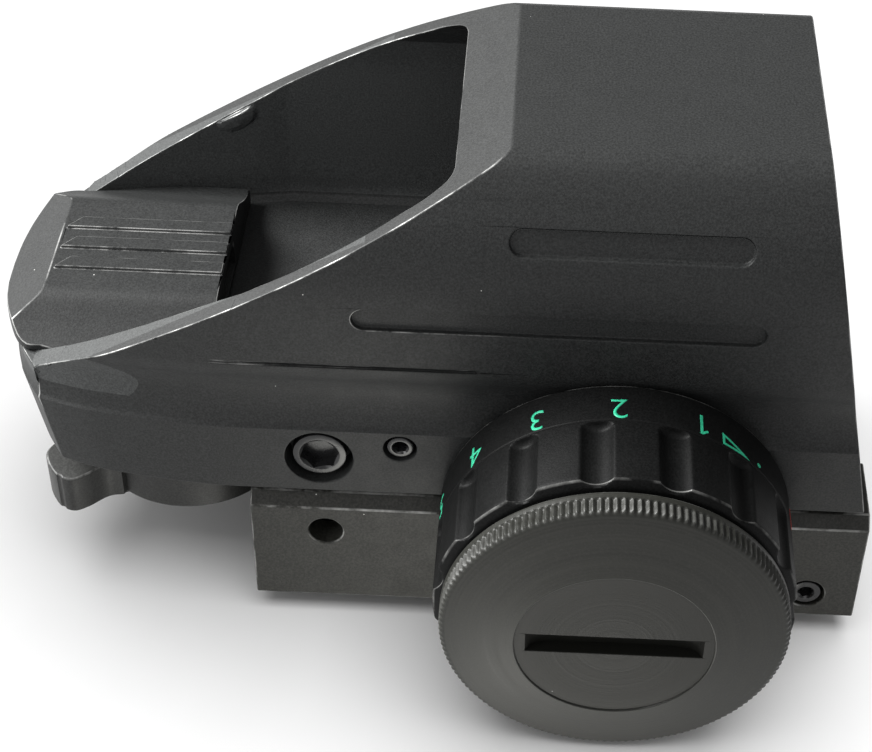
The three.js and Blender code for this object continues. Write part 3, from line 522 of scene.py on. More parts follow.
def build_lens():
    ob = leaned(mirror(inset(CAV_FINE, 0.45)), LENS_X - 3.4, LENS_X)
    R, N = 96.0, 14
    prof = []
    for i in range(N + 1):
        r = 26.0 * i / N
        prof.append((r, -(R - math.sqrt(R * R - r * r)) - 2.0))
    for i in range(N, -1, -1):
        r = 26.0 * i / N
        prof.append((r, -(R - math.sqrt(R * R - r * r))))
    disc = lathe("disc", "x", 0, 0, prof, 72)
    disc.data.transform(
        Matrix.Translation((LENS_X - FRONT_LEAN * 22.2 - 0.05, 0, 22.2)) @ Matrix.Rotation(-math.atan(FRONT_LEAN), 4, "Y")
    )
    ob = boolean(ob, disc, "INTERSECT")
    tidy(ob)
    bevel(ob, 0.12, 2, 40)
    return smooth(ob, 30)


def build_lens_frame():
    fx = LENS_X - 6.1
    ob = leaned(mirror(inset(CAV_FINE, 0.45)), fx - 2.2, fx)
    ob = boolean(ob, leaned(mirror(inset(CAV_FINE, 2.0)), fx - 4, fx + 2, "in"))
    tidy(ob)
    bevel(ob, 0.25, 3, 40)
    return smooth(ob)


# =====================================================================================
# Rail clamp, selector lever, bottom plate
# =====================================================================================
BOLTS = ((-13.3, -5.8), (26.0, -5.8))


def build_jaw(s):
    sec = [
        (18.5, -2.57), (17.25, -1.32), (9.9, -1.32), (9.9, -8.9), (10.9, -9.9), (10.9, -12.2), (8.1, -15.0),
        (8.1, -15.3), (18.5, -15.3),
    ]
    ob = prism("jaw", [(s * w, z) for w, z in sec], -20.75, 40.9, "yz")
    if s < 0:
        for x, z in BOLTS:
            ob = boolean(ob, cylinder("y", x, z, -20, -14, 1.7, 40))
            ob = boolean(ob, cylinder("y", x, z, -15.4, -9, 3.2, 40))
        ob = boolean(ob, cylinder("y", 35.7, -12.05, -20, -9, 1.85, 40))
        for x in (-5.5, 36.4):
            ob = boolean(ob, cylinder("y", x, -4.6, -14, -8, 1.8, 24))
    else:
        for x, z in BOLTS:
            ob = boolean(ob, cylinder("y", x, z, 9, 20, 2.3, 40))
    tidy(ob)
    bevel(ob, 0.22, 3, 28)
    return smooth(ob)


def build_rail_base():
    ob = block("rb", -17.6, 40.4, -9.6, 9.6, -9.0, -0.3)
    ob = boolean(ob, cylinder("z", PIVOT_X, -1.7, -10, 0.5, 12.6, 96))
    ob = boolean(ob, block("lug", 20, 24.5, -7.4, 7.4, -11.4, -8.0), "UNION")
    for x, y in ((-2.5, 5.5), (-2.5, -5.5), (33, 5.5), (33, -5.5)):
        ob = boolean(ob, cylinder("z", x, y, -12, -6.2, 3.0, 40))
        ob = boolean(ob, cylinder("z", x, y, -7, 1, 1.8, 32))
    for x, z in BOLTS:
        ob = boolean(ob, cylinder("y", x, z, -12, 12, 2.1, 32))
    for x in (-5.5, 36.4):
        ob = boolean(ob, cylinder("y", x, -4.6, -12, -4, 1.8, 24))
    tidy(ob)
    bevel(ob, 0.2, 3, 28)
    return smooth(ob)


def build_lever():
    z0, z1 = -8.4, -3.7
    ob = cylinder("z", PIVOT_X, 0, z0, z1, 9.6, 120)
    ob = boolean(ob, cylinder("z", PIVOT_X + 0.4, -3.6, z0, z1, 10.0, 120), "UNION")
    tab = [
        (-37.6, -5.2), (-40.0, -7.2), (-42.4, -10.0), (-42.6, -11.6), (-41.2, -14.1), (-39.6, -14.9),
        (-38.2, -14.2), (-36.4, -12.6), (-34.9, -12.2),
    ]
    tab = spline(tab, 5) + [(-33.0, -8.0), (-34.0, -5.0)]
    ob = boolean(ob, prism("tab", tab, z0, z1, "xy"), "UNION")
    ob = boolean(ob, cylinder("z", PIVOT_X, 0, z1 - 0.5, -1.6, 5.2, 64), "UNION")
    ob = boolean(ob, block("keep", -60, -18.9, -20, 20, -9, 0), "INTERSECT")
    ob = boolean(ob, block("sq", PIVOT_X - 1.25, PIVOT_X + 1.25, -1.25, 1.25, -6.2, 0))
    ob = boolean(ob, cylinder("z", PIVOT_X, 0, -9, -6.9, 2.9, 48))
    ob = boolean(ob, cylinder("z", PIVOT_X, 0, -9, -6.0, 1.3, 32))
    # thumb grooves across the end of the tab
    for k in range(4):
        a = math.radians(-139 + 7.5 * k)
        ob = boolean(ob, cylinder("z", PIVOT_X - 0.9 + 16.35 * math.cos(a), -2.6 + 16.35 * math.sin(a), -9, -3, 0.55, 20))
    tidy(ob)
    bevel(ob, 0.28, 3, 40, lambda m, e: abs(m.z - z1) < 0.01 or abs(m.z - z0) < 0.01 or abs(m.z + 1.6) < 0.01)
    return smooth(ob)


def build_bottom_plate():
    pts = [(-19.5, -10.9), (-19.5, 10.9), (-36.4, 10.9), (-37.9, 9.4), (-37.9, -9.4), (-36.4, -10.9)]
    ob = prism("bp", pts, 0.0, 0.9, "xy")
    ob = boolean(ob, cylinder("z", PIVOT_X, 0, -1, 2, 2.6, 48))
    for y in (9.08, -9.08):
        ob = boolean(ob, cylinder("z", -35.6, y, -1, 2, 1.3, 24))
    tidy(ob)
    bevel(ob, 0.14, 2, 30)
    return smooth(ob)


# =====================================================================================
# Socket screws
# =====================================================================================
def hexagon(r, turn=0.0):
    return [(r * math.cos(turn + math.pi * k / 3), r * math.sin(turn + math.pi * k / 3)) for k in range(6)]


def build_screw(axis, u, v, face, d, headR, headH, hexR, hexD, shankR=0.0, shankL=0.0, turn=0.2, rnd=0.25):
    """Socket screw: face is the station of its top, d the direction of its shank."""
    prof = [(0, 0.0), (headR - rnd, 0.0), (headR - rnd * 0.3, rnd * 0.3), (headR, rnd), (headR, headH - 0.12), (headR - 0.12, headH)]
    if shankR > 0:
        n = max(2, int(shankL / 0.45))
        for k in range(n):
            a = headH + shankL * k / n
            prof += [(shankR - 0.1, a + 0.02), (shankR, a + shankL / n * 0.5)]
        prof += [(shankR - 0.2, headH + shankL), (0, headH + shankL)]
    else:
        prof += [(0, headH)]
    prof = [(r, face + d * s) for r, s in prof]
    ob = lathe("screw", axis, u, v, prof, 56)
    pts = hexagon(hexR, turn)
    a, b = sorted((face - d * 0.5, face + d * hexD))
    if axis == "y":
        tool = prism("hex", [(u + p, v + q) for p, q in pts], a, b, "xz")
    elif axis == "z":
        tool = prism("hex", [(u + p, v + q) for p, q in pts], a, b, "xy")
    else:
        tool = prism("hex", [(u + p, v + q) for p, q in pts], a, b, "yz")
    ob = boolean(ob, tool)
    cone = lathe("sink", axis, u, v, [(0, face - d * 0.2), (hexR + 0.3, face - d * 0.2), (hexR * 0.86, face + d * 0.22), (0, face + d * 0.22)], 56)
    ob = boolean(ob, cone)
    return smooth(tidy(ob, 0.002), 30)


# =====================================================================================
# Rheostat knob and battery cap
# =====================================================================================
FLUTES = 15
FLUTE_PHASE = 15.5
BARREL = 17.1
KNOB_OUT = [
    (16.75, -19.3), (16.95, -19.34), (17.05, -19.44), (BARREL, -19.62), (BARREL, -23.84), (17.06, -23.92), (16.98, -24.0),
    (17.06, -24.08), (BARREL, -24.16), (BARREL, -31.33), (17.06, -31.43), (16.96, -31.52), (16.25, -31.86), (14.95, -32.02), (14.9, -32.1), (14.9, -32.7),
]
KNOB_IN = [
    (12.4, -32.7), (12.4, -30.0), (10.5, -30.0), (10.5, -28.7), (3.0, -28.7), (3.0, -27.5), (1.8, -27.5),
    (1.8, -26.9), (13.5, -26.9), (13.5, -19.3),
]


def flute_radius(r, y, ang, centres, ring=BARREL + 1.22, tool=2.0, y0=-24.2, run=0.7):
    a = max(0.0, y - (y0 - run)) / run  # the cutter lifts out in a short curve next to the band
    if a >= 1.0:
        return r
    lift = tool * (1 - math.sqrt(1 - a * a)) * 0.42
    best = r
    for c in centres:
        dlt = (ang - c + math.pi) % (2 * math.pi) - math.pi
        if abs(dlt) > 0.2:
            continue
        q = tool * tool - (ring * math.sin(dlt)) ** 2
        if q > 0:
            cut = ring * math.cos(dlt) - math.sqrt(q) + lift
            k = 0.06  # the lip of each flute is slightly rounded
            h = max(0.0, min(1.0, 0.5 + 0.5 * (r - cut) / k))
            best = min(best, r * (1 - h) + cut * h - k * h * (1 - h))
    return best


def build_knob():
    n = FLUTES * 48
    centres = [math.radians(FLUTE_PHASE) + i * 2 * math.pi / FLUTES for i in range(FLUTES)]
    rows = []
    for (r0, y0), (r1, y1) in zip(KNOB_OUT[:-1], KNOB_OUT[1:]):
        if y0 > -24.2 and y1 < -31:
            ys = [y0 - k * 0.05 for k in range(17)] + [-25.4, -27.0, -29.0, -31.0]
            rows += [(BARREL, y, True) for y in ys]
        else:
            steps = max(1, int(math.hypot(r1 - r0, y1 - y0) / 0.2)) if y1 < -31 else 1
            for k in range(steps):
                t = k / steps
                rows.append((r0 + (r1 - r0) * t, y0 + (y1 - y0) * t, True))
    rows.append((*KNOB_OUT[-1], True))
    rows += [(r, y, False) for r, y in KNOB_IN]
    verts, idx = [], []
    for r, y, outer in rows:
        ring = []
        for k in range(n):
            ang = 2 * math.pi * k / n
            rr = flute_radius(r, y, ang, centres) if outer and y < -24.17 else r
            ring.append(len(verts))
            verts.append((KX + rr * math.sin(ang), y, KZ + rr * math.cos(ang)))
        idx.append(ring)
    faces = []
    for a, b in zip(idx, idx[1:] + idx[:1]):
        for k in range(n):
            k1 = (k + 1) % n
            faces.append([a[k], a[k1], b[k1], b[k]])
    ob = new_obj("knob", verts, faces)
    ob = boolean(ob, cylinder("y", KX, KZ - 9.0, -27.7, -26.7, 1.0, 24))
    smooth(ob, 34)

    def edge(p):
        r = math.hypot(p.x - KX, p.z - KZ)
        if r > 16.9 and p.y > -19.6:
            return 1.0
        if r > 16.2 and -31.6 < p.y < -31.38:
            return 0.7
        return 0.0

    return crests(ob, edge)


TEETH = 144


def build_cap():
    n = TEETH * 8
    prof = [  # radius, y, tooth share
        (12.1, -33.45, 0), (15.2, -33.45, 0), (15.2, -32.5, 0), (15.3, -32.4, 0), (16.1, -32.4, 0), (16.28, -32.45, 0), (16.35, -32.6, 0),
        (16.35, -33.1, 0), (16.34, -33.2, 0.6), (16.35, -33.32, 1.0), (16.35, -33.9, 1.0), (16.35, -34.45, 1.0), (16.22, -34.68, 0.6),
        (16.0, -34.84, 0.2), (15.75, -34.93, 0), (14.2, -35.32, 0), (11.8, -35.87, 0), (9.5, -36.39, 0), (9.38, -36.42, 0),
        (9.3, -36.39, 0), (9.26, -36.28, 0), (0, -36.28, 0),
    ]
    inner = [(0, -33.4, 0), (10.3, -33.4, 0), (10.3, -30.5, 0), (12.05, -30.5, 0), (12.05, -33.4, 0)]
    verts, idx = [], []
    for r, y, tooth in inner + prof:
        if r == 0:
            idx.append([len(verts)])
            verts.append((KX, y, KZ))
            continue
        ring = []
        for k in range(n):
            ang = 2 * math.pi * k / n
            rr = r - tooth * 0.24 * (0.5 - 0.5 * math.cos(TEETH * ang)) ** 0.9
            ring.append(len(verts))
            verts.append((KX + rr * math.sin(ang), y, KZ + rr * math.cos(ang)))
        idx.append(ring)
    faces = []
    for a, b in zip(idx[:-1], idx[1:]):
        for k in range(n):
            k1 = (k + 1) % n
            if len(a) == 1:
                faces.append([a[0], b[k1], b[k]])
            elif len(b) == 1:
                faces.append([a[k], a[k1], b[0]])
            else:
                faces.append([a[k], a[k1], b[k1], b[k]])
    ob = new_obj("cap", verts, faces)
    # the coin slot: flat floor, run out at both ends
    saw = [(KX + x, -36.28 + d) for x, d in ((-8.6, -0.4), (-8.25, 0.0), (-7.75, 0.75), (-7.0, 1.15), (-5.6, 1.35), (0, 1.42), (5.6, 1.35), (7.0, 1.15), (7.75, 0.75), (8.25, 0.0), (8.6, -0.4))]
    ob = boolean(ob, prism("slot", saw, KZ - 1.15, KZ + 1.15, "xy"))
    tidy(ob, 0.002)
    bevel(ob, 0.1, 2, 40, lambda m, e: m.y < -36.0 and abs(m.z - KZ) < 1.3 and abs(m.x - KX) < 8.2)
    smooth(ob, 34)

    def edge(p):
        r = math.hypot(p.x - KX, p.z - KZ)
        if r > 16.05 and p.y > -32.55:
            return 1.0
        if r > 16.2 and p.y < -33.25:
            return 0.5
        if abs(r - 9.38) < 0.1 and p.y < -36.3:
            return 0.25
        return 0.0

    return crests(ob, edge)


# =====================================================================================
# Marks round the knob's band: thin inlaid paint
# =====================================================================================
def band_radius(y):
    return BARREL


def wrap_mark(ob, deg, y_mid, lift=0.025, sink=0.05):
    """Flat mark (x to its right, y up, z thickness 0..1) laid round the barrel; its top faces the cap."""
    for v in ob.data.vertices:
        y = y_mid - v.co.y
        r = band_radius(y) + (lift if v.co.z > 0.5 else -sink)
        a = math.radians(deg) - v.co.x / band_radius(y)
        v.co = Vector((KX + r * math.sin(a), y, KZ + r * math.cos(a)))
    bm = bmesh.new()
    bm.from_mesh(ob.data)
    bmesh.ops.recalc_face_normals(bm, faces=bm.faces)
    bm.to_mesh(ob.data)
    bm.free()
    return ob


def thicken(name, bm):
    """A flat triangulated sheet in z = 0 becomes a slab from 0 to 1."""
    bmesh.ops.triangulate(bm, faces=bm.faces)
    for _ in range(3):
        long = [e for e in bm.edges if e.calc_length() > 0.3]
        if not long:
            break
        bmesh.ops.subdivide_edges(bm, edges=long, cuts=1)
        bmesh.ops.triangulate(bm, faces=bm.faces)
    bmesh.ops.remove_doubles(bm, verts=bm.verts, dist=1e-4)
    top = bm.faces[:]
    ret = bmesh.ops.extrude_face_region(bm, geom=top)
    up = [g for g in ret["geom"] if isinstance(g, bmesh.types.BMVert)]
    bmesh.ops.translate(bm, verts=up, vec=(0, 0, 1))
    bmesh.ops.recalc_face_normals(bm, faces=bm.faces)
    me = bpy.data.meshes.new(name)
    bm.to_mesh(me)
    bm.free()
    ob = bpy.data.objects.new(name, me)
    scene.collection.objects.link(ob)
    return ob


def digit(ch, height=2.5):
    if ch == "1":
        h = height / 2
        pts = [(0.14, -h), (0.14, h), (-0.12, h), (-0.72, h - 0.5), (-0.6, h - 0.72), (-0.14, h - 0.36), (-0.14, -h)]
        bm = bmesh.new()
        bm.faces.new([bm.verts.new((x, y, 0)) for x, y in reversed(pts)])
        return thicken("mark_1", bm)
    cu = bpy.data.curves.new("t", "FONT")
    cu.body = ch
    cu.align_x = "CENTER"
    cu.resolution_u = 4
    cu.offset = -0.009
    cu.size = 1.0
    tmp = bpy.data.objects.new("t", cu)
    scene.collection.objects.link(tmp)
    bpy.context.view_layer.update()
    dg = bpy.context.evaluated_depsgraph_get()
    me = bpy.data.meshes.new_from_object(tmp.evaluated_get(dg))
    bpy.data.objects.remove(tmp)
    bpy.data.curves.remove(cu)
    bm = bmesh.new()
    bm.from_mesh(me)
    bpy.data.meshes.remove(me)
    ys = [v.co.y for v in bm.verts]
    xs = [v.co.x for v in bm.verts]
    lo, hi = min(ys), max(ys)
    cx = (min(xs) + max(xs)) / 2
    k = height / (hi - lo)
    for v in bm.verts:
        v.co = Vector(((v.co.x - cx) * k * 1.02, (v.co.y - (lo + hi) / 2) * k, 0))
    return thicken("mark_" + ch, bm)


def triangle_mark(line=0.25):
    outer = [Vector((1.35, -0.95)), Vector((1.35, 0.5)), Vector((-2.0, 0.5))]
    a, b, c = ((outer[(i + 1) % 3] - outer[(i + 2) % 3]).length for i in range(3))
    mid = (outer[0] * a + outer[1] * b + outer[2] * c) / (a + b + c)
    r = abs((outer[1] - outer[0]).cross(outer[2] - outer[0])) / (a + b + c)
    bm = bmesh.new()
    o = [bm.verts.new((*p, 0)) for p in outer]
    i = [bm.verts.new((*(mid + (p - mid) * (1 - line / r)), 0)) for p in outer]
    for k in range(3):
        j = (k + 1) % 3
        bm.faces.new([o[k], o[j], i[j], i[k]])
    return thicken("mark_triangle", bm)


def dot_mark(r=0.26, n=12):
    bm = bmesh.new()
    bm.faces.new([bm.verts.new((r * math.cos(2 * math.pi * k / n), r * math.sin(2 * math.pi * k / n), 0)) for k in range(n)])
    return thicken("mark_dot", bm)


# =====================================================================================
# Materials: procedural finishes in the row frame's metres
# =====================================================================================
class Tree:
    def __init__(self, name):
        self.mat = bpy.data.materials.new(name)
        self.mat.use_nodes = True
        self.t = self.mat.node_tree
        self.t.nodes.clear()
        self.out = self.t.nodes.new("ShaderNodeOutputMaterial")
        self.bsdf = self.t.nodes.new("ShaderNodeBsdfPrincipled")
        self.t.links.new(self.bsdf.outputs["BSDF"], self.out.inputs["Surface"])
        tc = self.t.nodes.new("ShaderNodeTexCoord")
        self.co = tc.outputs["Object"]

    def node(self, kind, **props):
        n = self.t.nodes.new(kind)
        for k, v in props.items():
            setattr(n, k, v)
        return n

    def link(self, a, b):
        self.t.links.new(a, b)

    def noise(self, scale, detail=3.0, rough=0.55, stretch=None, distortion=0.0):
        n = self.node("ShaderNodeTexNoise")
        n.inputs["Scale"].default_value = scale
        n.inputs["Detail"].default_value = detail
        n.inputs["Roughness"].default_value = rough
        n.inputs["Distortion"].default_value = distortion
        if stretch is None:
            self.link(self.co, n.inputs["Vector"])
        else:
            m = self.node("ShaderNodeMapping")
            m.inputs["Scale"].default_value = stretch
            self.link(self.co, m.inputs["Vector"])
            self.link(m.outputs["Vector"], n.inputs["Vector"])
        return n.outputs["Fac"]

    def ramp(self, fac, stops):
        r = self.node("ShaderNodeValToRGB")
        e = r.color_ramp.elements
        while len(e) < len(stops):
            e.new(0.5)
        for el, (p, v) in zip(e, stops):
            el.position = p
            c = v if isinstance(v, (tuple, list)) else (v, v, v)
            el.color = (*c, 1.0)
        self.link(fac, r.inputs["Fac"])
        return r.outputs["Color"]

    def mix(self, fac, a, b, blend="MIX"):
        m = self.node("ShaderNodeMix", data_type="RGBA", blend_type=blend)
        for sock, v in ((m.inputs[0], fac), (m.inputs[6], a), (m.inputs[7], b)):
            if isinstance(v, (int, float)):
                sock.default_value = v
            elif isinstance(v, (tuple, list)):
                sock.default_value = (*v, 1.0)
            else:
                self.link(v, sock)
        return m.outputs[2]

    def math(self, op, a, b=None):
        m = self.node("ShaderNodeMath", operation=op)
        for sock, v in zip(m.inputs, (a, b)):
            if v is None:
                continue
            if isinstance(v, (int, float)):
                sock.default_value = v
            else:
                self.link(v, sock)
        return m.outputs[0]

    def bump(self, height, strength, distance, normal=None):
        b = self.node("ShaderNodeBump")
        b.inputs["Strength"].default_value = strength
        b.inputs["Distance"].default_value = distance
        self.link(height, b.inputs["Height"])
        if normal is not None:
            self.link(normal, b.inputs["Normal"])
        return b.outputs["Normal"]

    def worn_edges(self, lo=0.35, hi=0.9, patch=(0.42, 0.62)):
        """1 along the crests of the rounded edges, broken up by noise."""
        g = self.node("ShaderNodeAttribute", attribute_name="crest", attribute_type="GEOMETRY")
        p = self.ramp(g.outputs["Fac"], [(lo, 0.0), (hi, 1.0)])
        n = self.ramp(self.noise(260.0, 4.0, 0.65), [(patch[0], 0.0), (patch[1], 1.0)])
        return self.math("MULTIPLY", p, n)

    def dust(self, scale=620.0, size=0.045, share=0.93):
        v = self.node("ShaderNodeTexVoronoi")
        v.inputs["Scale"].default_value = scale
        self.link(self.co, v.inputs["Vector"])
        near = self.ramp(v.outputs["Distance"], [(size * 0.6, 1.0), (size, 0.0)])
        sep = self.node("ShaderNodeSeparateColor")
        self.link(v.outputs["Color"], sep.inputs["Color"])
        pick = self.math("GREATER_THAN", sep.outputs[0], share)
        return self.math("MULTIPLY", near, pick)


def black_finish(name, color, rough=0.5, grain=5200.0, grain_h=0.00003, speck=0.35, wear=0.35, worn=(0.5, 0.5, 0.49),
                 metallic=0.0, spec=0.3, dust=0.6, blotch=0.12, stretch=None, inner=None):
    t = Tree(name)
    fine = t.noise(grain, 2.5, 0.6, stretch)
    dark = tuple(c * (1 - 0.5 * speck) for c in color)
    light = tuple(c * (1 + 1.3 * speck) + 0.003 * speck for c in color)
    base = t.mix(t.ramp(fine, [(0.36, 0.0), (0.68, 1.0)]), dark, light)
    base = t.mix(t.ramp(t.noise(110.0, 3.0, 0.6), [(0.35, 0.0), (0.7, blotch)]), base, tuple(c * 1.6 for c in color))
    if inner:
        # painted light: the walls inside the trough get a base colour several times lighter, with stronger grain,
        # standing in for the light that reaches them
        (hw, z0, z1, x1), painted_light_gain = inner
        sep = t.node("ShaderNodeSeparateXYZ")
        t.link(t.co, sep.inputs["Vector"])
        painted_light_mask = t.math("LESS_THAN", t.math("ABSOLUTE", sep.outputs["Y"]), hw)
        for test in (t.math("GREATER_THAN", sep.outputs["Z"], z0), t.math("LESS_THAN", sep.outputs["Z"], z1), t.math("LESS_THAN", sep.outputs["X"], x1)):
            painted_light_mask = t.math("MULTIPLY", painted_light_mask, test)
        base = t.mix(painted_light_mask, base, t.mix(t.ramp(fine, [(0.3, 0.0), (0.7, 1.0)]), tuple(c * painted_light_gain * 0.6 for c in color), tuple(c * painted_light_gain * 1.4 for c in color)))
    base = t.mix(t.math("MULTIPLY", t.dust(), dust), base, (0.55, 0.55, 0.53))
    r = t.ramp(t.noise(420.0, 4.0, 0.6), [(0.3, rough - 0.04), (0.7, rough + 0.05)])
    if wear > 0:
        e = t.math("MULTIPLY", t.worn_edges(), wear)
        base = t.mix(e, base, worn)
        r = t.mix(e, r, (0.3, 0.3, 0.3))
        t.link(t.math("MAXIMUM", e, metallic), t.bsdf.inputs["Metallic"])
    else:
        t.bsdf.inputs["Metallic"].default_value = metallic
    t.link(base, t.bsdf.inputs["Base Color"])
    t.link(r, t.bsdf.inputs["Roughness"])
    t.bsdf.inputs["Specular IOR Level"].default_value = spec
    t.link(t.bump(fine, 0.55, grain_h), t.bsdf.inputs["Normal"])
    return t


def turned_finish(name, color, axis, centre, rough=0.38, metallic=0.0, spec=0.5, rings=5200.0, ring_h=0.000012, dust=0.5, speck=0.25, disc=None):
    """Fine turning marks about an axis through centre (metres)."""
    t = Tree(name)
    m = t.node("ShaderNodeMapping")
    m.inputs["Location"].default_value = tuple(-c for c in centre)
    t.link(t.co, m.inputs["Vector"])
    sep = t.node("ShaderNodeSeparateXYZ")
    t.link(m.outputs["Vector"], sep.inputs["Vector"])
    names = [n for n in ("X", "Y", "Z") if n != axis]
    a = t.math("MULTIPLY", sep.outputs[names[0]], sep.outputs[names[0]])
    b = t.math("MULTIPLY", sep.outputs[names[1]], sep.outputs[names[1]])
    rad = t.math("SQRT", t.math("ADD", a, b))
    v = t.node("ShaderNodeCombineXYZ")
    t.link(rad, v.inputs["X"])
    t.link(t.math("MULTIPLY", sep.outputs[axis], 1.0), v.inputs["Y"])
    n = t.node("ShaderNodeTexNoise")
    n.inputs["Scale"].default_value = rings
    n.inputs["Detail"].default_value = 3.0
    t.link(v.outputs["Vector"], n.inputs["Vector"])
    ring = n.outputs["Fac"]
    fine = t.noise(4600.0, 2.5, 0.6)
    base = t.mix(t.ramp(ring, [(0.35, 0.0), (0.68, 1.0)]), tuple(c * (1 - 0.3 * speck) for c in color), tuple(c * (1 + 0.8 * speck) for c in color))
    base = t.mix(t.ramp(fine, [(0.5, 0.0), (0.75, 0.5)]), base, tuple(c * 1.5 + 0.006 for c in color))
    if disc:
        # the sunk disc in the middle is finished smoother and darker
        base = t.mix(t.math("LESS_THAN", rad, disc), base, t.mix(ring, tuple(c * 0.4 for c in color), tuple(c * 0.72 for c in color)))
    e = t.math("MULTIPLY", t.worn_edges(), 0.3)
    base = t.mix(e, base, (0.3, 0.3, 0.29))
    base = t.mix(t.math("MULTIPLY", t.dust(), dust), base, (0.5, 0.5, 0.48))
    t.link(base, t.bsdf.inputs["Base Color"])
    t.link(t.ramp(ring, [(0.3, rough - 0.04), (0.7, rough + 0.06)]), t.bsdf.inputs["Roughness"])
    t.bsdf.inputs["Metallic"].default_value = metallic
    if disc:
        t.link(t.math("SUBTRACT", spec, t.math("MULTIPLY", t.math("LESS_THAN", rad, disc), spec * 0.45)), t.bsdf.inputs["Specular IOR Level"])
    else:
        t.bsdf.inputs["Specular IOR Level"].default_value = spec
    nb = t.bump(ring, 0.5, ring_h)
    t.link(t.bump(fine, 0.35, 0.00002, nb), t.bsdf.inputs["Normal"])
    return t


def metal(name, color, rough=0.25, stretch=(1, 1, 1), scale=2500.0, height=0.00001):
    t = Tree(name)
    n = t.noise(scale, 3.0, 0.6, stretch)
    base = t.mix(t.ramp(n, [(0.35, 0.0), (0.7, 1.0)]), tuple(c * 0.82 for c in color), tuple(min(1, c * 1.1) for c in color))
    t.link(base, t.bsdf.inputs["Base Color"])
    t.link(t.ramp(t.noise(600.0), [(0.3, rough - 0.05), (0.7, rough + 0.1)]), t.bsdf.inputs["Roughness"])
    t.bsdf.inputs["Metallic"].default_value = 1.0
    t.link(t.bump(n, 0.4, height), t.bsdf.inputs["Normal"])
    return t


def soft_finish(name, color, rough=0.6, scale=1800.0, spec=0.4, height=0.00003):
    t = Tree(name)
    n = t.noise(scale, 3.0, 0.55)
    base = t.mix(t.ramp(n, [(0.3, 0.0), (0.7, 1.0)]), tuple(c * 0.78 for c in color), tuple(min(1, c * 1.22) for c in color))
    t.link(base, t.bsdf.inputs["Base Color"])
    t.link(t.ramp(t.noise(500.0), [(0.3, rough - 0.08), (0.7, rough + 0.08)]), t.bsdf.inputs["Roughness"])
    t.bsdf.inputs["Specular IOR Level"].default_value = spec
    t.link(t.bump(n, 0.4, height), t.bsdf.inputs["Normal"])
    return t


KNOB_C = ((KX - SX) / 1000, 0.0, (KZ - SZ) / 1000)

# inner= paints light on the trough's inner walls: their base colour is made three times lighter
cast = black_finish("cast_black", (0.0112, 0.0117, 0.0117), rough=0.5, speck=0.6, wear=0.55, dust=0.8, spec=0.22, inner=((0.01697, 0.0192, 0.0392, 0.018), 3.0))
coverm = black_finish("cover_black", (0.0106, 0.0111, 0.0111), rough=0.5, speck=0.6, wear=0.5, dust=0.8, spec=0.2)
anod = black_finish("anodised_black", (0.0150, 0.0152, 0.0146), rough=0.46, speck=0.5, wear=0.45, dust=0.6, spec=0.24)
jawm = black_finish("jaw_black", (0.0130, 0.0130, 0.0111), rough=0.48, grain=4200.0, speck=0.6, wear=0.5, dust=0.9, spec=0.24)
knobm = black_finish("knob_black", (0.0030, 0.0031, 0.0031), rough=0.47, spec=0.08, grain=4800.0, speck=0.4, wear=0.5, worn=(0.35, 0.35, 0.34), dust=0.6)
capm = turned_finish("cap_black", (0.0125, 0.0127, 0.0108), "Y", KNOB_C, rough=0.42, speck=0.4, spec=0.24, disc=0.00926)
bsteel = black_finish("black_steel", (0.010, 0.010, 0.0105), rough=0.26, grain=3600.0, grain_h=0.00001, speck=0.3, wear=0.5, worn=(0.5, 0.5, 0.5), metallic=0.15, spec=0.5, dust=0.3)
MATS = {
    "cast_black": cast, "anodised_black": anod, "jaw_black": jawm, "knob_black": knobm, "cap_black": capm, "black_steel": bsteel,
    "bright_steel": metal("bright_steel", (0.62, 0.62, 0.63), 0.24),
    "spring_steel": metal("spring_steel", (0.48, 0.48, 0.49), 0.28, (1, 1, 4)),
    "brass": metal("brass", (0.70, 0.52, 0.24), 0.3),
    "black_plastic": soft_finish("black_plastic", (0.02, 0.02, 0.02), 0.45),
    "wire_insulation": soft_finish("wire_insulation", (0.03, 0.03, 0.03), 0.5),
    "circuit_board": soft_finish("circuit_board", (0.05, 0.2, 0.08), 0.5),
    "seal_rubber": soft_finish("seal_rubber", (0.015, 0.015, 0.015), 0.7),
}
led = soft_finish("led_lens", (0.45, 0.05, 0.05), 0.15, spec=0.6, height=0.000005)
MATS["led_lens"] = led
glass = Tree("lens_glass")
gn = glass.noise(90.0, 3.0)
glass.link(glass.mix(glass.ramp(gn, [(0.3, 0.0), (0.7, 1.0)]), (0.30, 0.10, 0.12), (0.36, 0.13, 0.14)), glass.bsdf.inputs["Base Color"])
glass.link(glass.ramp(glass.noise(260.0), [(0.3, 0.03), (0.7, 0.07)]), glass.bsdf.inputs["Roughness"])
glass.link(glass.ramp(gn, [(0.3, 0.27), (0.7, 0.34)]), glass.bsdf.inputs["Alpha"])
glass.bsdf.inputs["IOR"].default_value = 1.6
glass.bsdf.inputs["Specular IOR Level"].default_value = 1.0
MATS["lens_glass"] = glass
green = soft_finish("mark_green", (0.022, 0.36, 0.20), 0.55, scale=5200.0)
red = soft_finish("mark_red", (0.50, 0.030, 0.022), 0.55, scale=5200.0)


# =====================================================================================
# Pieces
# =====================================================================================
PIECES = []


def add(ob, name, body, slot, replaced=(), mat=None):
    ob.name = name
    ob.data.name = name
    place(ob)
    ob.data.materials.clear()
    ob.data.materials.append((mat or MATS[slot]).mat)
    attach(ob, body)
    if replaced:
        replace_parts(ob, *replaced)
    PIECES.append(ob)
    return ob


housing = build_housing()
tidy(housing, 0.05)
bevel(housing, 0.2, 2, 24, lambda m, e: m.z > 36.8 or e.calc_face_angle(0) > math.radians(34))
smooth(housing, 24)


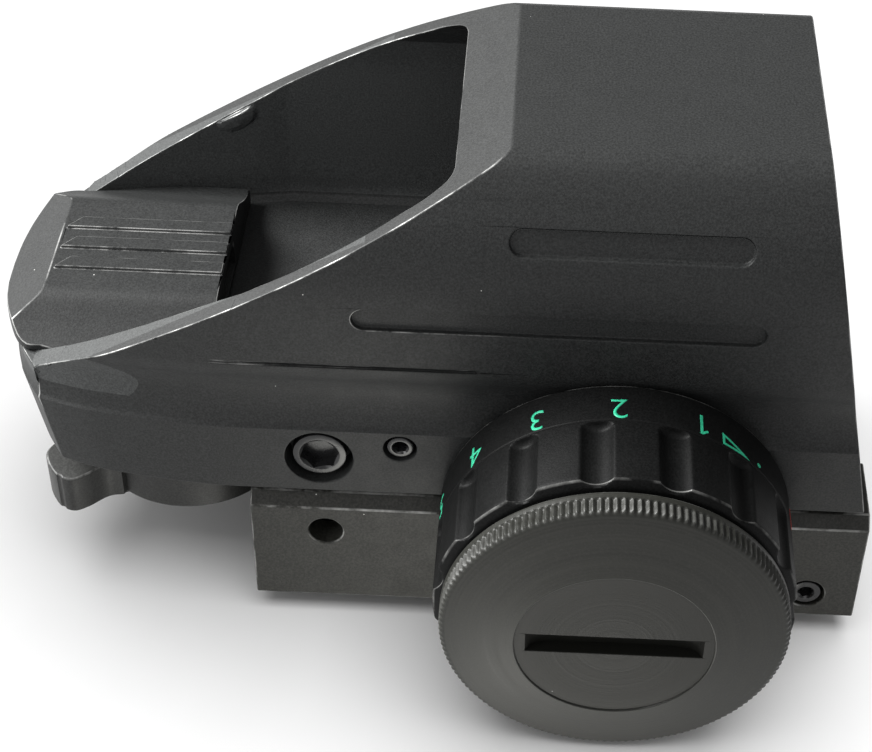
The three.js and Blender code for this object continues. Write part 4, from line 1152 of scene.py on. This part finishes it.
def housing_wear(p):
    if p.x > front_x(p.z) - 0.8:
        return 0.8  # the mouth of the hood
    if abs(p.y) > 10 and p.x < 3.4 and p.z > 10.8:
        return 1.0 if abs(p.y) > 15.2 or p.x > -8 else 0.7  # the rims of the wings
    if p.x < -38 and p.z > 8:
        return 1.0
    return 0.22


crests(housing, housing_wear, True)
add(housing, "housing_shell", "sight_body", "cast_black", ["housing"])
add(build_cover(), "emitter_cover_shell", "sight_body", "cast_black", ["emitter_cover"], coverm)
add(build_lens(), "objective_lens_glass", "sight_body", "lens_glass", ["objective_lens"])
add(build_lens_frame(), "lens_frame_ring", "sight_body", "anodised_black", ["lens_frame"])
add(build_jaw(-1), "fixed_jaw_bar", "sight_body", "jaw_black", ["fixed_jaw"])
add(build_jaw(1), "moving_jaw_bar", "jaw", "jaw_black", ["moving_jaw"])
add(build_rail_base(), "rail_base_block", "sight_body", "anodised_black", ["rail_base"])
add(build_bottom_plate(), "bottom_plate_sheet", "sight_body", "anodised_black", ["bottom_plate"])
add(build_lever(), "selector_lever_disc", "selector", "anodised_black", ["selector_lever"])
add(build_screw("z", PIVOT_X, 0, -8.3, 1, 2.5, 1.1, 0.9, 0.7, 0.45, 3.9), "lever_screw_head", "selector", "black_steel", ["lever_screw"])
add(build_screw("y", -13.6, 4.4, -18.0, 1, 2.65, 2.1, 1.95, 1.4, 1.25, 14.4), "windage_screw_head", "windage_adjuster", "black_steel", ["windage_screw"])
add(build_screw("z", -10.5, 0, 12.0, -1, 2.65, 1.7, 1.95, 1.1, 1.5, 2.6), "elevation_screw_head", "elevation_adjuster", "black_steel", ["elevation_screw"])
add(build_screw("y", -5.7, 6.1, -18.3, 1, 1.3, 6.4, 0.75, 1.3, rnd=0.2), "windage_lock_head", "windage_lock", "black_steel", ["windage_lock_screw"])
add(build_screw("z", -3.4, 0, 9.3, -1, 1.3, 3.4, 0.75, 1.3, rnd=0.2), "elevation_lock_head", "elevation_lock", "black_steel", ["elevation_lock_screw"])
for nm, (x, z), body in (("jaw_bolt_rear", BOLTS[0], "rear_bolt"), ("jaw_bolt_front", BOLTS[1], "front_bolt")):
    add(build_screw("y", x, z, -15.0, 1, 2.9, 2.6, 1.5, 1.6, 1.8, 29.6), nm + "_socket", body, "black_steel", [nm])
add(build_screw("y", 35.7, -12.05, -18.35, 1, 1.55, 6.6, 0.8, 1.2, rnd=0.2), "jaw_grub_socket", "grub", "black_steel", ["jaw_grub_screw"])
for i, (x, y) in enumerate(((-2.5, 5.5), (-2.5, -5.5), (33, 5.5), (33, -5.5))):
    add(build_screw("z", x, y, -8.7, 1, 2.65, 2.2, 1.25, 1.4, 1.5, 11.4), f"base_screw_socket_{i + 1}", "sight_body", "black_steel", [f"base_screw_{i + 1}"])
for side, y in (("left", 11.55), ("right", -11.55)):
    add(build_screw("z", -33, y, 1.5, 1, 1.6, 1.2, 0.7, 0.7, 1.0, 8.4, rnd=0.2), f"cover_screw_socket_{side}", "sight_body", "black_steel", [f"cover_screw_{side}"])
for side, y in (("left", 9.08), ("right", -9.08)):
    add(build_screw("z", -35.6, y, -1.2, 1, 1.7, 0.9, 0.7, 0.6, 1.0, 4.0, rnd=0.2), f"plate_screw_socket_{side}", "sight_body", "black_steel", [f"bottom_plate_screw_{side}"])
add(build_knob(), "rheostat_knob_fluted", "rheostat", "knob_black", ["rheostat_knob"])
add(build_cap(), "battery_cap_coined", "cap", "cap_black", ["battery_cap"])

for ch, deg, col in (
    ("5", -79.0, green), ("4", -52.8, green), ("3", -27.9, green), ("2", -1.65, green), ("1", 24.7, green),
    ("1", 78.0, red), ("2", 104.2, red), ("3", 130.4, red), ("4", 156.6, red), ("5", 182.8, red),
):
    ob = wrap_mark(digit(ch), deg, -22.55)
    add(ob, f"mark_{'green' if col is green else 'red'}_{ch}", "rheostat", "knob_black", mat=col)
add(wrap_mark(triangle_mark(), 37.0, -23.3), "mark_off_triangle", "rheostat", "knob_black", mat=green)
add(wrap_mark(dot_mark(), 48.6, -23.3), "mark_off_dot", "rheostat", "knob_black", mat=green)

# the remaining CAD nodes are shown as they are, in their own finishes
HIDDEN = {n for p in PIECES for n in list(p.get("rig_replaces", []))}
for name, ob in nodes.items():
    if name in HIDDEN:
        continue
    slot_name = ob.data.materials[0].name.split(".")[0] if ob.data.materials else "black_steel"
    guess = {
        "turret_base": "anodised_black", "gimbal_pin": "bright_steel", "detent_ball": "bright_steel", "jaw_dowel_1": "bright_steel",
        "jaw_dowel_2": "bright_steel", "selector_spindle": "bright_steel", "gimbal_block": "brass", "reticle_drum": "brass",
        "wiper_contact": "brass", "emitter_arm": "anodised_black", "led_holder": "black_plastic", "led_emitter": "led_lens",
        "windage_spring": "spring_steel", "elevation_spring": "spring_steel", "detent_spring": "spring_steel", "battery_spring": "spring_steel",
        "coin_cell": "bright_steel", "contact_disc": "circuit_board", "led_wires": "wire_insulation", "cap_seal": "seal_rubber",
    }.get(name, slot_name if slot_name in MATS else "black_steel")
    ob.data.materials.clear()
    ob.data.materials.append(MATS[guess].mat)
    print("node", name, slot_name, "->", guess)

# =====================================================================================
# Studio
# =====================================================================================
FLOOR_Z = (-17.85 - SZ) / 1000
me = bpy.data.meshes.new("floor")
W = 6.0
me.from_pydata([(-W, -W, FLOOR_Z), (W, -W, FLOOR_Z), (W, W, FLOOR_Z), (-W, W, FLOOR_Z)], [], [(0, 1, 2, 3)])
floor = bpy.data.objects.new("floor", me)
scene.collection.objects.link(floor)
ft = Tree("floor_pale")
fn = ft.noise(60.0, 3.0)
ft.link(ft.mix(ft.ramp(fn, [(0.3, 0.0), (0.7, 1.0)]), (0.90, 0.90, 0.90), (0.92, 0.92, 0.92)), ft.bsdf.inputs["Base Color"])
ft.link(ft.ramp(ft.noise(200.0), [(0.3, 0.6), (0.7, 0.7)]), ft.bsdf.inputs["Roughness"])
ft.bsdf.inputs["Specular IOR Level"].default_value = 0.1
me.materials.append(ft.mat)

world = bpy.data.worlds.new("studio")
scene.world = world
world.use_nodes = True
bg = world.node_tree.nodes["Background"]
bg.inputs["Color"].default_value = (1.0, 1.0, 1.0, 1.0)
bg.inputs["Strength"].default_value = 0.42


def linked(light_ob, kind, include):
    """Limits what a light falls on (receiver) or what shades it (blocker) by leaving the floor in or out."""
    col = bpy.data.collections.new(f"{light_ob.name}_{kind}")
    col.objects.link(floor)
    col.collection_objects[0].light_linking.link_state = "INCLUDE" if include else "EXCLUDE"
    setattr(light_ob.light_linking, f"{kind}_collection", col)


def area(name, loc, target, size, power, size_y=None, color=(1, 1, 1), on_floor=False, through_floor=False):
    li = bpy.data.lights.new(name, "AREA")
    li.shape = "RECTANGLE"
    li.size = size
    li.size_y = size_y or size
    li.energy = power
    li.color = color
    ob = bpy.data.objects.new(name, li)
    scene.collection.objects.link(ob)
    ob.location = Vector(loc)
    ob.rotation_euler = (Vector(target) - Vector(loc)).to_track_quat("-Z", "Y").to_euler()
    ob.visible_camera = False
    linked(ob, "receiver", on_floor)
    if through_floor:
        linked(ob, "blocker", False)
    return ob


area("floor_wash", (0, 0, 1.4), (0, 0, 0), 1.6, 24.0, on_floor=True)
area("key", (-0.56, 0.15, 0.50), (-0.01, 0, 0.01), 0.45, 25.0, 0.40, color=(1.0, 1.0, 0.99))
area("side_glint", (-0.20, -0.15, 0.10), (-0.02, 0, 0.01), 0.10, 0.25)
area("bounce", (-0.004, -0.080, -0.054), (0.004, -0.035, 0.0), 0.055, 0.030, 0.04, color=(1.0, 0.99, 0.92), through_floor=True)
area("front_high", (0.06, -0.30, 0.40), (0, 0, 0), 0.30, 0.45)

# =====================================================================================
# Camera
# =====================================================================================
E = math.radians(41.772)
ROLL = math.radians(2.472)
d = Vector((0, math.cos(E), -math.sin(E)))
r0, u0 = Vector((1, 0, 0)), Vector((0, math.sin(E), math.cos(E)))
right = r0 * math.cos(ROLL) + u0 * math.sin(ROLL)
up = -r0 * math.sin(ROLL) + u0 * math.cos(ROLL)
cam = bpy.data.cameras.new("camera")
cam_ob = bpy.data.objects.new("camera", cam)
scene.collection.objects.link(cam_ob)
rot = Matrix((right, up, -d)).transposed()
cam_ob.matrix_world = Matrix.Translation((-0.003359, -0.156652, 0.150491)) @ rot.to_4x4()
cam.sensor_width = 36.0
cam.sensor_fit = "HORIZONTAL"
cam.lens = 2003.9 / 872 * 36.0
cam.shift_x = (436.0 - 531.9) / 872
cam.shift_y = (362.3 - 376.0) / 872
cam.clip_start = 0.005
cam.clip_end = 50
scene.camera = cam_ob
scene.view_settings.view_transform = "Standard"
